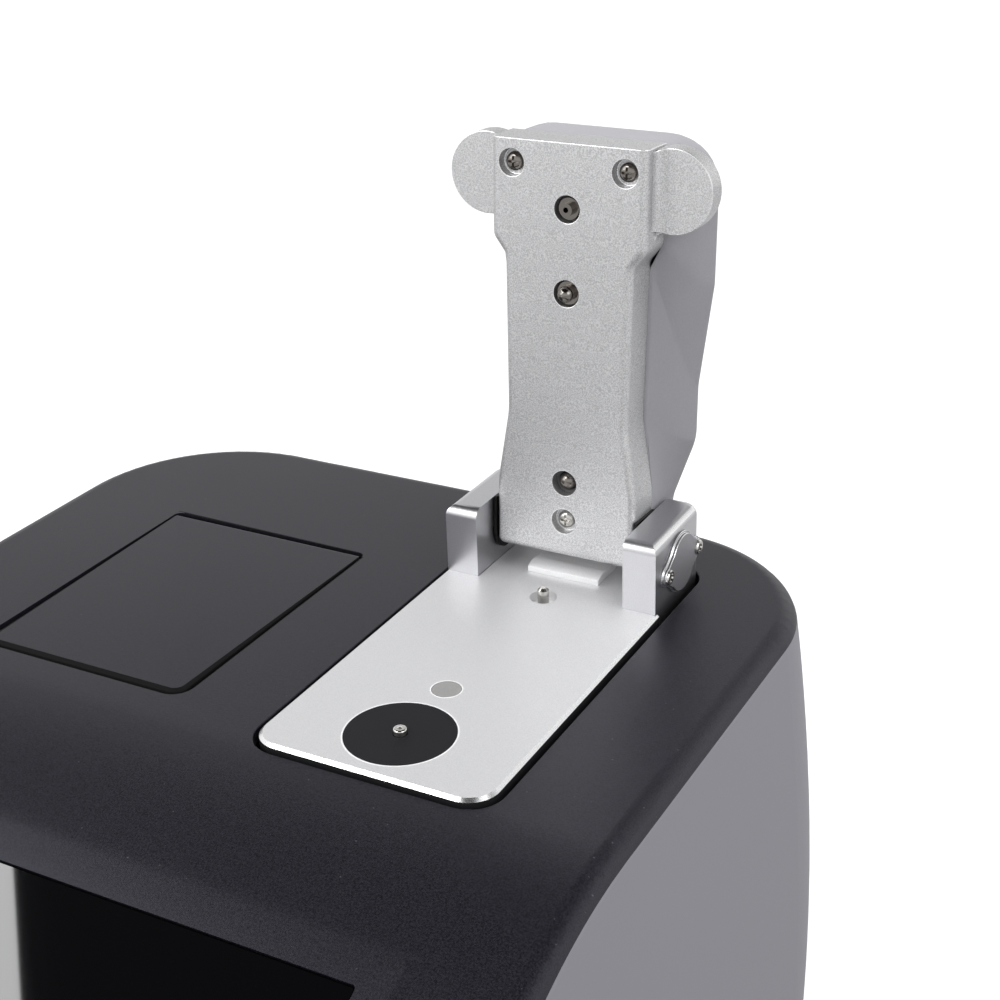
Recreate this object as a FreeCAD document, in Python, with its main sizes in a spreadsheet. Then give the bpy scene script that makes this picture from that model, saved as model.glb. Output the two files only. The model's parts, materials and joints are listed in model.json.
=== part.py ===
import FreeCAD, Part
import math
import os

import Sketcher
from FreeCAD import Placement, Rotation, Vector

doc = FreeCAD.newDocument("MicroVolumeSpectrophotometer")

# Driving dimensions: name, value in millimetres or degrees, meaning
DIMENSIONS = [
    ("body_width", 196, "housing width where its top rounding ends"),
    ("body_depth", 308, "housing depth where its top rounding ends"),
    ("body_corner", 41, "plan radius of the housing corners"),
    ("bulge", 6, "how far the walls swell beyond the top outline"),
    ("bulge_height", 59.4, "height of the widest section"),
    ("bulge_reach", 91, "height above the widest section where the swell ends"),
    ("cover_height", 155.4, "height of the flat top over the table"),
    ("top_round", 5, "rounding all round the top"),
    ("wall", 3, "housing wall"),
    ("seam_drop", 3.5, "seam below the top surface"),
    ("lip_depth", 4, "reach of the cover's lip below the seam"),
    ("lip_wall", 1.6, "thickness of the cover's lip"),
    ("foot_height", 4, "clearance under the housing"),
    ("flat_end", 28.4, "where the flat top starts to roll forward"),
    ("roll_radius", 119, "radius of the roll towards the front slope"),
    ("slope_angle", 27, "front slope below level"),
    ("bezel_crease", -9.4, "rear edge of the display recess"),
    ("bezel_width", 149, "width of the display recess"),
    ("bezel_border", 7.3, "border of the recess round the glass"),
    ("bezel_corner", 1.5, "corner radius of the display recess"),
    ("glass_width", 134.4, "display glass width"),
    ("glass_length", 98, "display glass length down the slope"),
    ("glass_thickness", 1.3, "display glass thickness"),
    ("glass_sink", 0.5, "how far the glass lies below the recess floor"),
    ("glass_gap", 0.4, "gap round the display glass"),
    ("glass_corner", 0.4, "corner radius of the display glass"),
    ("display_depth", 9, "depth of the display module"),
    ("display_margin", 3, "how far the display module reaches past the glass"),
    ("lid_x", -35.8, "middle of the cuvette lid"),
    ("lid_front", 34.9, "front edge of the lid opening"),
    ("lid_width", 56.7, "width of the lid opening"),
    ("lid_length", 72.8, "length of the lid opening"),
    ("lid_corner", 4.5, "corner radius of the lid opening"),
    ("lid_gap", 0.75, "gap round the cuvette lid"),
    ("lid_thickness", 2.7, "cuvette lid thickness"),
    ("lid_pin_radius", 0.7, "hinge pin of the lid"),
    ("lid_pin_length", 5, "length of each lid hinge pin"),
    ("lid_ledge", 2.4, "ledge that carries the lid"),
    ("bay_depth", 9, "depth of the tray under the lid"),
    ("bay_wall", 2, "wall of the tray under the lid"),
    ("cuvette_side", 12.6, "square well for a 12.5 mm cuvette"),
    ("cuvette_depth", 41, "depth of the cuvette well"),
    ("holder_side", 24, "outside of the cuvette holder"),
    ("holder_y", 62, "middle of the cuvette well"),
    ("beam_height", 15, "light beam over the bottom of the well"),
    ("beam_radius", 2, "bore for the light beam"),
    ("plate_x", 42.5, "middle of the pedestal plate"),
    ("plate_front", 26.6, "front edge of the pedestal plate"),
    ("plate_width", 54, "pedestal plate width"),
    ("plate_length", 81.6, "pedestal plate length up to its rear tips"),
    ("plate_proud", 1.2, "plate above the cover"),
    ("plate_thickness", 8, "pedestal plate thickness"),
    ("plate_corner", 6.4, "front corner radius of the plate"),
    ("plate_chamfer", 0.7, "bright chamfer round the plate"),
    ("slot_gap", 1.25, "gap between plate and cover"),
    ("disc_radius", 11.5, "black disc round the lower pedestal"),
    ("disc_thickness", 2.5, "black disc thickness"),
    ("pedestal_offset", 14.8, "pedestals behind the plate's front edge"),
    ("pedestal_radius", 1.45, "radius of the pedestal tip"),
    ("pedestal_sleeve", 2.4, "radius of the pedestal body"),
    ("pedestal_height", 1.3, "lower pedestal above the plate"),
    ("sample_gap", 0.5, "gap between the pedestals when closed"),
    ("fibre_radius", 0.6, "jacketed optical fibre radius"),
    ("magnet_offset", 33.4, "holding magnet behind the plate's front edge"),
    ("magnet_radius", 3.15, "holding magnet radius"),
    ("magnet_depth", 5, "holding magnet length"),
    ("magnet_sink", 0.05, "magnet face below the plate"),
    ("stud_offset", 77.8, "path stud behind the plate's front edge"),
    ("stud_radius", 1.3, "path stud radius"),
    ("stud_height", 2.5, "path stud above the plate"),
    ("stud_travel", 0.9, "travel of the path stud"),
    ("stud_hole", 3.15, "countersink radius round the stud"),
    ("bush_radius", 2.6, "guide bush of the stud"),
    ("running_fit", 0.05, "radial clearance of shafts and studs"),
    ("bracket_outer", 26.5, "outer face of the hinge brackets from the middle"),
    ("bracket_inner", 18.5, "inner face of the hinge brackets from the middle"),
    ("bracket_front", 80.6, "front of the brackets behind the plate's front edge"),
    ("bracket_depth", 26.4, "length of the brackets front to back"),
    ("bracket_height", 16.8, "bracket top above the plate"),
    ("bracket_round", 2.5, "rounding of the bracket's top edges"),
    ("bracket_corner", 3.6, "rear outer corner radius of the bracket"),
    ("bracket_chamfer", 0.7, "chamfer along the bracket sides"),
    ("hinge_offset", 93.6, "hinge axis behind the plate's front edge"),
    ("hinge_height", 7.65, "hinge axis above the plate"),
    ("barrel_radius", 5, "friction hinge barrel radius"),
    ("shaft_radius", 1.6, "hinge shaft radius"),
    ("flange_radius", 6.7, "middle radius of the hinge flange"),
    ("flange_reach", 8.4, "flange screws from the hinge axis"),
    ("flange_end", 2, "end radius of the hinge flange"),
    ("flange_thickness", 1.3, "hinge flange thickness"),
    ("flange_step", 0.6, "thickness of the wider foot of the hinge flange"),
    ("flange_rim", 0.5, "how far the foot of the flange stands out"),
    ("flange_screw_radius", 1.6, "head radius of the flange screws"),
    ("flange_screw_head", 1.2, "head height of the flange screws"),
    ("leaf_thickness", 0.7, "black hinge leaf between arm and bracket"),
    ("leaf_radius", 5, "end radius of the black hinge leaf"),
    ("leaf_length", 9.2, "length of the black hinge leaf"),
    ("stop_width", 18.2, "width of the stop block"),
    ("stop_front", 87.8, "front of the stop block behind the plate's front edge"),
    ("stop_back", 106, "back of the stop block behind the plate's front edge"),
    ("stop_knee", 1.4, "height of the stop block's front face"),
    ("stop_deck", 2.05, "height of the block under the closed arm"),
    ("stop_height", 3.3, "height of the block's rear rest"),
    ("stop_rest", 7.5, "length of the block's rear rest"),
    ("stop_bevel", 1.9, "slanted parts of the stop block"),
    ("stop_relief", 5.9, "radius cleared for the arm's end"),
    ("pad_thickness", 1.1, "rubber pad on the stop block"),
    ("arm_tilt", 3.1, "backward tilt of the open arm"),
    ("arm_face", 5.3, "arm face in front of the hinge axis"),
    ("arm_thickness", 10.1, "arm plate thickness"),
    ("arm_heel", 2.5, "arm end beyond the hinge axis"),
    ("arm_tip", 93, "arm tip from the hinge axis"),
    ("arm_head", 18.45, "half width of the arm's head"),
    ("arm_neck_top", 15.4, "half width below the head"),
    ("arm_waist", 14.8, "half width of the waist"),
    ("arm_foot", 17.5, "half width at the hinge"),
    ("head_start", 71.2, "where the head reaches its width"),
    ("neck_end", 67.2, "where the neck starts to widen to the head"),
    ("waist_end", 31, "where the waist starts to widen to the hinge"),
    ("foot_end", 14, "where the hinge end reaches its width"),
    ("arm_end_round", 1.8, "rounding of the arm's heel edge"),
    ("ear_x", 22.05, "middle of the finger ears"),
    ("ear_y", 83.8, "finger ears from the hinge axis"),
    ("ear_radius", 9.15, "radius of the finger ears"),
    ("ear_depth", 5, "ears behind the arm face"),
    ("ear_root", 2, "hollow rounding where an ear meets the head's side"),
    ("ear_fillet", 2.6, "hollow fillet beside the arm's head"),
    ("counterbore", 3, "radius of the holes in the arm face"),
    ("counterbore_depth", 2.4, "depth of the screw holes in the arm face"),
    ("screw_head", 2.4, "head radius of the arm screws"),
    ("screw_shank", 1.5, "shank radius of the arm screws"),
    ("arm_screw_x", 13.4, "arm screws from the middle"),
    ("arm_screw_y", 87.7, "arm screws from the hinge axis"),
    ("heel_screw_y", 6.4, "heel screw from the hinge axis"),
    ("ball_radius", 1.8, "steel ball that meets the magnet"),
    ("ball_seat", 2.6, "seat radius of the steel ball"),
    ("ball_seat_height", 1.3, "seat height of the steel ball"),
    ("ball_clearance", 0.3, "ball above the magnet when closed"),
    ("anvil_radius", 2.2, "ball that meets the path stud"),
    ("anvil_clearance", 0.35, "anvil above the stud when closed"),
    ("shell_depth", 27, "arm depth from face to back"),
    ("shell_wall", 1.8, "wall of the arm's back cover"),
    ("shell_flare", 12, "depth over which the back cover widens"),
    ("shell_head", 25.7, "half width of the back cover at the head"),
    ("shell_waist", 22.8, "half width of the back cover at the waist"),
    ("shell_foot", 17.5, "half width of the back cover at the hinge"),
    ("shell_foot_end", 7.5, "where the back cover starts to widen from the hinge"),
    ("shell_waist_start", 23, "where the back cover reaches its waist"),
    ("shell_waist_end", 36, "where the back cover widens on to the head"),
    ("shell_head_start", 60, "where the back cover reaches its full width"),
    ("shell_round", 5.5, "rounding of the back cover"),
    ("shell_corner", 7, "corner radius of the back cover's head"),
    ("shell_bend", 14, "radius of the bends in the back cover's sides"),
    ("frame_wall", 5, "thickness of the inner frame"),
    ("frame_margin", 3, "inner frame beyond the plate"),
    ("base_thickness", 2.5, "base plate thickness"),
    ("base_gap", 0.4, "gap between base plate and housing"),
    ("foot_radius", 9, "rubber foot radius"),
    ("foot_x", 72, "rubber feet from the middle"),
    ("foot_y", 122, "rubber feet from the middle"),
    ("opening_side", 38, "rear opening in from the housing's sides"),
    ("panel_lap", 4, "rear panel beyond its opening"),
    ("panel_top", 56, "top of the rear panel over the table"),
    ("panel_thickness", 2, "rear panel thickness"),
    ("panel_y", 154.2, "outer face of the rear panel"),
    ("opening_bottom", 18, "lower edge of the rear opening"),
    ("opening_top", 52, "upper edge of the rear opening"),
    ("jack_x", -46, "power inlet from the middle"),
    ("jack_radius", 4, "power inlet opening radius"),
    ("jack_pin", 1, "centre pin radius of the power inlet"),
    ("rocker_x", -22, "power switch from the middle"),
    ("rocker_width", 12.6, "power switch opening width"),
    ("rocker_height", 18.4, "power switch opening height"),
    ("rocker_angle", 9, "rocker tilt to each side"),
    ("rocker_pin", 1, "radius of the rocker's pivot pin"),
    ("usb_x", 12, "first host socket from the middle"),
    ("usb_pitch", 22, "pitch of the sockets"),
    ("usb_width", 13.2, "host socket width"),
    ("usb_height", 5.8, "host socket height"),
    ("usb_depth", 14, "host socket depth"),
    ("usb_metal", 0.4, "socket shell thickness"),
    ("device_x", 52, "device socket from the middle"),
    ("device_side", 11.4, "device socket width"),
    ("device_height", 10.6, "device socket height"),
    ("board_thickness", 1.6, "circuit board thickness"),
    ("standoff", 6, "height of the board standoffs"),
    ("module_side", 20, "boards and modules in from the housing's sides"),
    ("board_end", 44, "boards in from the housing's front"),
    ("module_end", 24, "spectrometer in from the housing's back"),
    ("main_width", 68, "main board width"),
    ("main_length", 115, "main board length"),
    ("power_width", 83, "power board width"),
    ("power_length", 60, "power board length"),
    ("board_inset", 6, "standoffs in from the boards' edges"),
    ("spectrometer_width", 66, "spectrometer width"),
    ("spectrometer_length", 80, "spectrometer length"),
    ("spectrometer_height", 45, "spectrometer height"),
    ("lamp_width", 46, "flash lamp module width"),
    ("lamp_length", 50, "flash lamp module length"),
    ("lamp_height", 50, "flash lamp module height"),
    ("lamp_front", 6.6, "flash lamp module in front of the plate"),
    ("standoff_radius", 2.5, "board standoff radius"),
    ("play", 0.3, "general clearance between parts"),
]


class Size:
    """A number that remembers the sheet formula it comes from."""

    def __init__(self, number, formula):
        self.number = float(number)
        self.formula = formula

    def __float__(self):
        return self.number

    def __add__(self, other):
        return Size(self.number + float(other), joined(self, "+", other))

    def __radd__(self, other):
        return Size(float(other) + self.number, joined(other, "+", self))

    def __sub__(self, other):
        return Size(self.number - float(other), joined(self, "-", other))

    def __rsub__(self, other):
        return Size(float(other) - self.number, joined(other, "-", self))

    def __mul__(self, other):
        return Size(self.number * float(other), joined(self, "*", other))

    def __rmul__(self, other):
        return Size(float(other) * self.number, joined(other, "*", self))

    def __truediv__(self, other):
        return Size(self.number / float(other), joined(self, "/", other))

    def __rtruediv__(self, other):
        return Size(float(other) / self.number, joined(other, "/", self))

    def __neg__(self):
        return Size(-self.number, "(0 - %s)" % self.formula)


def written(value):
    """The formula of a value, or the plain number."""
    if isinstance(value, Size):
        return value.formula
    return repr(float(value))


def joined(left, sign, right):
    return "(%s %s %s)" % (written(left), sign, written(right))


def sine(angle):
    return Size(math.sin(math.radians(float(angle))), "sin(%s * 1 deg)" % written(angle))


def cosine(angle):
    return Size(math.cos(math.radians(float(angle))), "cos(%s * 1 deg)" % written(angle))


def tangent(angle):
    return Size(math.tan(math.radians(float(angle))), "tan(%s * 1 deg)" % written(angle))


def square_root(value):
    return Size(math.sqrt(float(value)), "sqrt(%s)" % written(value))


class Sheet:
    """The named sizes, as attributes."""


s = Sheet()
sheet = doc.addObject("Spreadsheet::Sheet", "Sizes")
for row, (alias, amount, meaning) in enumerate(DIMENSIONS, 1):
    sheet.set("A%d" % row, meaning)
    sheet.set("B%d" % row, str(amount))
    sheet.setAlias("B%d" % row, alias)
doc.recompute()
for alias, amount, meaning in DIMENSIONS:
    setattr(s, alias, Size(sheet.get(alias), "Sizes." + alias))

NODES = []


def node(item, label):
    """Name a finished sub-part and keep it for export."""
    item.Label = label
    NODES.append(item)
    return item


def bind(item, prop, value):
    item.setExpression(prop, written(value))


def move(item, x=0, y=0, z=0):
    bind(item, "Placement.Base.x", x)
    bind(item, "Placement.Base.y", y)
    bind(item, "Placement.Base.z", z)
    return item


# Part primitives and booleans


def box(name, xs, ys, zs):
    """A block given by its two bounds along each axis."""
    item = doc.addObject("Part::Box", name)
    bind(item, "Length", xs[1] - xs[0])
    bind(item, "Width", ys[1] - ys[0])
    bind(item, "Height", zs[1] - zs[0])
    return move(item, xs[0], ys[0], zs[0])


AXIS_TURN = {
    "x": Rotation(Vector(0, 1, 0), 90),
    "y": Rotation(Vector(1, 0, 0), -90),
    "z": Rotation(),
}


def cylinder(name, axis, start, length, radius):
    """A round bar from a start point along an axis."""
    item = doc.addObject("Part::Cylinder", name)
    item.Placement = Placement(Vector(), AXIS_TURN[axis])
    bind(item, "Radius", radius)
    bind(item, "Height", length)
    return move(item, *start)


def cone(name, axis, start, length, first, last):
    item = doc.addObject("Part::Cone", name)
    item.Placement = Placement(Vector(), AXIS_TURN[axis])
    bind(item, "Radius1", first)
    bind(item, "Radius2", last)
    bind(item, "Height", length)
    return move(item, *start)


def ball(name, centre, radius):
    item = doc.addObject("Part::Sphere", name)
    bind(item, "Radius", radius)
    return move(item, *centre)


def fuse(name, *items):
    item = doc.addObject("Part::MultiFuse", name)
    item.Shapes = list(items)
    return item


def cut(name, base, *tools):
    item = doc.addObject("Part::Cut", name)
    item.Base = base
    item.Tool = tools[0] if len(tools) == 1 else fuse(name + "Tools", *tools)
    return item


def common(name, *items):
    item = doc.addObject("Part::MultiCommon", name)
    item.Shapes = list(items)
    return item


def group(name, *items):
    """Separate like solids that share one node."""
    item = doc.addObject("Part::Compound", name)
    item.Links = list(items)
    return item


def edges_of(item, wanted):
    """Numbers of the edges that a test picks."""
    doc.recompute()
    return [i for i, edge in enumerate(item.Shape.Edges, 1) if wanted(edge)]


def rounded(name, item, radius, wanted):
    """Round the picked edges of a Part solid."""
    smooth = doc.addObject("Part::Fillet", name)
    smooth.Base = item
    smooth.Edges = [(i, float(radius), float(radius)) for i in edges_of(item, wanted)]
    return smooth


# Sketches


def pin_point(sketch, geometry, corner, point):
    """Tie one point of a sketch to the sheet."""
    for kind, value in (("DistanceX", point[0]), ("DistanceY", point[1])):
        rule = Sketcher.Constraint(kind, -1, 1, geometry, corner, float(value))
        number = sketch.addConstraint(rule)
        sketch.setExpression("Constraints[%d]" % number, written(value))


def polygon(sketch, points):
    """A closed outline of straight lines."""
    first = sketch.GeometryCount
    count = len(points)
    flat = [Vector(float(x), float(y), 0) for x, y in points]
    for i in range(count):
        sketch.addGeometry(Part.LineSegment(flat[i], flat[(i + 1) % count]), False)
    for i in range(count):
        link = Sketcher.Constraint("Coincident", first + i, 2, first + (i + 1) % count, 1)
        sketch.addConstraint(link)
        pin_point(sketch, first + i, 1, points[i])


def rectangle(sketch, x0, y0, x1, y1):
    polygon(sketch, [(x0, y0), (x1, y0), (x1, y1), (x0, y1)])


def circle(sketch, x, y, radius):
    number = sketch.GeometryCount
    centre = Vector(float(x), float(y), 0)
    sketch.addGeometry(Part.Circle(centre, Vector(0, 0, 1), float(radius)), False)
    pin_point(sketch, number, 3, (x, y))
    rule = sketch.addConstraint(Sketcher.Constraint("Radius", number, float(radius)))
    sketch.setExpression("Constraints[%d]" % rule, written(radius))


def arc_between(sketch, centre, radius, start, end):
    """An anticlockwise arc whose ends are already tied by its neighbours."""
    middle = Vector(float(centre[0]), float(centre[1]), 0)
    turn = [math.atan2(float(p[1]) - middle.y, float(p[0]) - middle.x) for p in (start, end)]
    round_line = Part.Circle(middle, Vector(0, 0, 1), float(radius))
    return sketch.addGeometry(Part.ArcOfCircle(round_line, turn[0], turn[1]), False)


def rounded_rectangle(sketch, half_width, half_depth, radius):
    """A rectangle about the origin with round corners, anticlockwise."""
    centres = [(1, -1), (1, 1), (-1, 1), (-1, -1)]
    for number, (right, back) in enumerate(centres):
        cx = right * (half_width - radius)
        cy = back * (half_depth - radius)
        outer = [(right * half_width, cy), (cx, back * half_depth)]
        start, end = outer if right * back > 0 else outer[::-1]
        arc = arc_between(sketch, (cx, cy), radius, start, end)
        pin_point(sketch, arc, 1, start)
        pin_point(sketch, arc, 2, end)
        rule = sketch.addConstraint(Sketcher.Constraint("Radius", arc, float(radius)))
        sketch.setExpression("Constraints[%d]" % rule, written(radius))
    for number in range(4):
        following = (number + 1) % 4
        here = sketch.getPoint(number, 2)
        there = sketch.getPoint(following, 1)
        line = sketch.addGeometry(Part.LineSegment(here, there), False)
        sketch.addConstraint(Sketcher.Constraint("Coincident", line, 1, number, 2))
        sketch.addConstraint(Sketcher.Constraint("Coincident", line, 2, following, 1))


# PartDesign bodies


def new_body(name):
    return doc.addObject("PartDesign::Body", name)


def origin_plane(body, role):
    return [item for item in body.Origin.OriginFeatures if item.Role == role][0]


def sketch_on(body, name, role="XY_Plane", lift=0):
    """A sketch on one of the body's own planes, lifted along its normal."""
    sketch = body.newObject("Sketcher::SketchObject", name)
    sketch.AttachmentSupport = [(origin_plane(body, role), "")]
    sketch.MapMode = "FlatFace"
    bind(sketch, "AttachmentOffset.Base.z", lift)
    return sketch


def pad(body, sketch, length, backwards=False, both=False):
    feature = body.newObject("PartDesign::Pad", sketch.Name + "Pad")
    feature.Profile = sketch
    bind(feature, "Length", length)
    feature.Reversed = backwards
    feature.Midplane = both
    return feature


def pocket(body, sketch, length, upwards=False, both=False):
    """Cut a sketch out of the body and make sure that something was cut."""
    doc.recompute()
    before = body.Shape.Volume
    feature = body.newObject("PartDesign::Pocket", sketch.Name + "Pocket")
    feature.Profile = sketch
    bind(feature, "Length", length)
    feature.Reversed = upwards
    feature.Midplane = both
    doc.recompute()
    if body.Shape.Volume > before - 1e-6:
        raise RuntimeError(sketch.Name + " cuts nothing")
    return feature


def dress(body, kind, name, prop, value, wanted):
    """Fillet or chamfer the picked edges of a body."""
    doc.recompute()
    tip = body.Tip
    names = ["Edge%d" % i for i, e in enumerate(tip.Shape.Edges, 1) if wanted(e)]
    feature = body.newObject("PartDesign::" + kind, name)
    feature.Base = (tip, names)
    bind(feature, prop, value)
    return feature


def fillet(body, name, radius, wanted):
    return dress(body, "Fillet", name, "Radius", radius, wanted)


def chamfer(body, name, size, wanted):
    return dress(body, "Chamfer", name, "Size", size, wanted)


# Edge tests


def near(a, b, slack=0.02):
    return abs(float(a) - float(b)) < slack


def upright_at(*places):
    """Vertical edges at the given plan positions."""
    def test(edge):
        spot = edge.BoundBox
        if spot.ZLength < 0.1 or spot.XLength > 0.01 or spot.YLength > 0.01:
            return False
        return any(near(spot.XMin, x) and near(spot.YMin, y) for x, y in places)
    return test


def all_at_height(height):
    def test(edge):
        spot = edge.BoundBox
        return near(spot.ZMin, height) and near(spot.ZMax, height)
    return test


# Heights and places that several pieces share

plate_top = s.cover_height + s.plate_proud
plate_bottom = plate_top - s.plate_thickness
pedestal_y = s.plate_front + s.pedestal_offset
magnet_y = s.plate_front + s.magnet_offset
stud_y = s.plate_front + s.stud_offset
hinge_y = s.plate_front + s.hinge_offset
hinge_z = plate_top + s.hinge_height
bracket_y0 = s.plate_front + s.bracket_front
bracket_y1 = bracket_y0 + s.bracket_depth
deck_top = plate_bottom
deck_bottom = deck_top - s.frame_wall
base_top = s.foot_height + s.base_thickness
lid_y0 = s.lid_front
lid_y1 = s.lid_front + s.lid_length
under_cover = s.cover_height - s.wall


def swell(height):
    """How far the wall stands out at a height."""
    share = (height - s.bulge_height) / s.bulge_reach
    return s.bulge * (1 - share * share)


# Housing


def plan_sketch(name, inset, height):
    """The housing outline at one height."""
    sketch = doc.addObject("Sketcher::SketchObject", name)
    grown = swell(height) - inset
    rounded_rectangle(sketch, s.body_width / 2 + grown, s.body_depth / 2 + grown,
                      s.body_corner + grown)
    bind(sketch, "Placement.Base.z", height)
    return sketch


def barrel(name, inset):
    """The swelling walls as one solid, lofted through four outlines."""
    top = s.cover_height + 1.6
    step = (top - s.foot_height) / 3
    levels = [s.foot_height, s.foot_height + step, top - step, top]
    item = doc.addObject("Part::Loft", name)
    item.Sections = [plan_sketch("%sPlan%d" % (name, i), inset, z) for i, z in enumerate(levels)]
    item.Solid = True
    return item


def roll_points(drop):
    """Where the roll of the top ends, a given distance below the surface."""
    radius = s.roll_radius - drop
    end_y = s.flat_end - radius * sine(s.slope_angle)
    end_z = s.cover_height - drop - radius * (1 - cosine(s.slope_angle))
    return radius, end_y, end_z


def below_top(name, drop):
    """Everything below the top surface lowered by a distance."""
    radius, end_y, end_z = roll_points(drop)
    reach = s.body_depth / 2 + 2 * s.bulge
    top = s.cover_height - drop
    front_z = end_z - (end_y + reach) * tangent(s.slope_angle)
    sketch = doc.addObject("Sketcher::SketchObject", name + "Profile")
    corners = [(end_y, end_z), (-reach, front_z), (-reach, -1), (reach, -1), (reach, top),
               (s.flat_end, top)]
    flat = [Vector(float(y), float(z), 0) for y, z in corners]
    for i in range(5):
        sketch.addGeometry(Part.LineSegment(flat[i], flat[i + 1]), False)
    for i in range(4):
        sketch.addConstraint(Sketcher.Constraint("Coincident", i, 2, i + 1, 1))
    for i in range(5):
        pin_point(sketch, i, 1, corners[i])
    pin_point(sketch, 4, 2, corners[5])
    centre = (s.flat_end, top - radius)
    arc = arc_between(sketch, centre, radius, corners[5], corners[0])
    sketch.addConstraint(Sketcher.Constraint("Coincident", arc, 1, 4, 2))
    sketch.addConstraint(Sketcher.Constraint("Coincident", arc, 2, 0, 1))
    rule = sketch.addConstraint(Sketcher.Constraint("Radius", arc, float(radius)))
    sketch.setExpression("Constraints[%d]" % rule, written(radius))
    sketch.Placement = Placement(Vector(), Rotation(Vector(1, 1, 1), 120))
    item = doc.addObject("Part::Extrusion", name)
    item.Base = sketch
    item.DirMode = "Normal"
    item.Solid = True
    item.Symmetric = True
    bind(item, "LengthFwd", s.body_width + 8 * s.bulge)
    return item


def surface_height(y):
    """Height of the top surface at a distance from the middle."""
    radius, end_y, end_z = roll_points(0)
    if y >= float(s.flat_end):
        return float(s.cover_height)
    if y >= float(end_y):
        drop = float(radius) - math.sqrt(float(radius) ** 2 - (float(s.flat_end) - y) ** 2)
        return float(s.cover_height) - drop
    return float(end_z) - (float(end_y) - y) * math.tan(math.radians(float(s.slope_angle)))


def top_rim(edge):
    """Edges of the top surface where it meets the walls."""
    points = edge.discretize(6)
    if any(abs(p.z - surface_height(p.y)) > 0.05 for p in points):
        return False
    across = max(p.y for p in points) - min(p.y for p in points) < 1e-4
    inside = abs(points[0].y) < float(s.body_depth) / 2 - 1
    return not (across and inside)


def housing_shell():
    """The whole hollow case before it is split at the seam."""
    outside = common("CaseSolid", barrel("Barrel", 0), below_top("TopForm", 0))
    smooth = rounded("CaseRounded", outside, s.top_round, top_rim)
    inside = common("CaseRoom", barrel("InnerBarrel", s.wall), below_top("RoomForm", s.wall))
    return cut("CaseShell", smooth, inside)


def slope_frame():
    """Placement of the display recess: x across, y up the slope, z outwards."""
    crease_z = surface_height(float(s.bezel_crease))
    turn = Rotation(Vector(1, 0, 0), float(s.slope_angle))
    return Placement(Vector(0, float(s.bezel_crease), crease_z), turn)


def on_slope(item):
    item.Placement = slope_frame()
    return item


def slope_block(name, half_width, y0, y1, z0, z1, corner):
    """A round-cornered block in the frame of the display recess."""
    body = new_body(name)
    sketch = sketch_on(body, name + "Outline", lift=z0)
    rectangle(sketch, -half_width, y0, half_width, y1)
    pad(body, sketch, z1 - z0)
    corners = [(x, y) for x in (-half_width, half_width) for y in (y0, y1)]
    fillet(body, name + "Corners", corner, upright_at(*corners))
    return on_slope(body)


shell = housing_shell()
seam = below_top("SeamForm", s.seam_drop)
bezel_y0 = -(s.glass_length + 2 * s.bezel_border)
glass_y0 = -(s.glass_length + s.bezel_border)


def block_at(name, xs, ys, zs, corner):
    """A round-cornered block in the housing's own frame."""
    body = new_body(name)
    sketch = sketch_on(body, name + "Outline", lift=zs[0])
    rectangle(sketch, xs[0], ys[0], xs[1], ys[1])
    pad(body, sketch, zs[1] - zs[0])
    fillet(body, name + "Corners", corner, upright_at(*[(x, y) for x in xs for y in ys]))
    return body


def top_cover():
    """Black cover with the plate slot, the lid opening and the display recess."""
    cap = cut("CoverCap", shell, seam)
    recess = slope_block("BezelRecess", s.bezel_width / 2, bezel_y0, 0 * s.wall, 0 * s.wall,
                         3 * s.wall, s.bezel_corner)
    window = slope_block("GlassWindow", s.glass_width / 2 + s.glass_gap, glass_y0 - s.glass_gap,
                         s.glass_gap - s.bezel_border, -3 * s.wall, s.wall,
                         s.glass_corner + s.glass_gap)
    half_slot = s.plate_width / 2 + s.slot_gap
    slot = block_at("PlateSlot", (s.plate_x - half_slot, s.plate_x + half_slot),
                    (s.plate_front - s.slot_gap, bracket_y1 + s.slot_gap),
                    (under_cover - s.wall, s.cover_height + s.wall), s.plate_corner + s.slot_gap)
    lid_hole = block_at("LidHole", (s.lid_x - s.lid_width / 2, s.lid_x + s.lid_width / 2),
                        (lid_y0, lid_y1), (under_cover - s.wall, s.cover_height + s.wall),
                        s.lid_corner)
    hinge_end = box("LidHingeEnd", (s.lid_x - s.lid_width / 2, s.lid_x + s.lid_width / 2),
                    (lid_y1 - 2 * s.lid_corner, lid_y1),
                    (under_cover - s.wall, s.cover_height + s.wall))
    pin_span = s.lid_width + s.lid_pin_length
    pins = cylinder("LidPinBores", "x", (s.lid_x - pin_span / 2 - s.play / 2, lid_pin_y, lid_pin_z),
                    pin_span + s.play, s.lid_pin_radius + s.running_fit)
    return node(cut("TopCover", cap, recess, window, slot, lid_hole, hinge_end, pins), "top_cover")


lid_pin_y = lid_y1 - s.lid_gap - s.lid_thickness / 2
lid_pin_z = s.cover_height - s.lid_thickness / 2


def lower_housing():
    """Grey side and back walls with the opening for the rear panel."""
    tub = common("HousingTub", shell, seam)
    half = s.body_width / 2 - s.opening_side
    hole = box("RearOpening", (-half, half),
               (s.body_depth / 2 - 4 * s.wall, s.body_depth / 2 + 4 * s.wall),
               (s.opening_bottom, s.opening_top))
    return node(cut("LowerHousing", tub, hole), "lower_housing")


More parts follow.
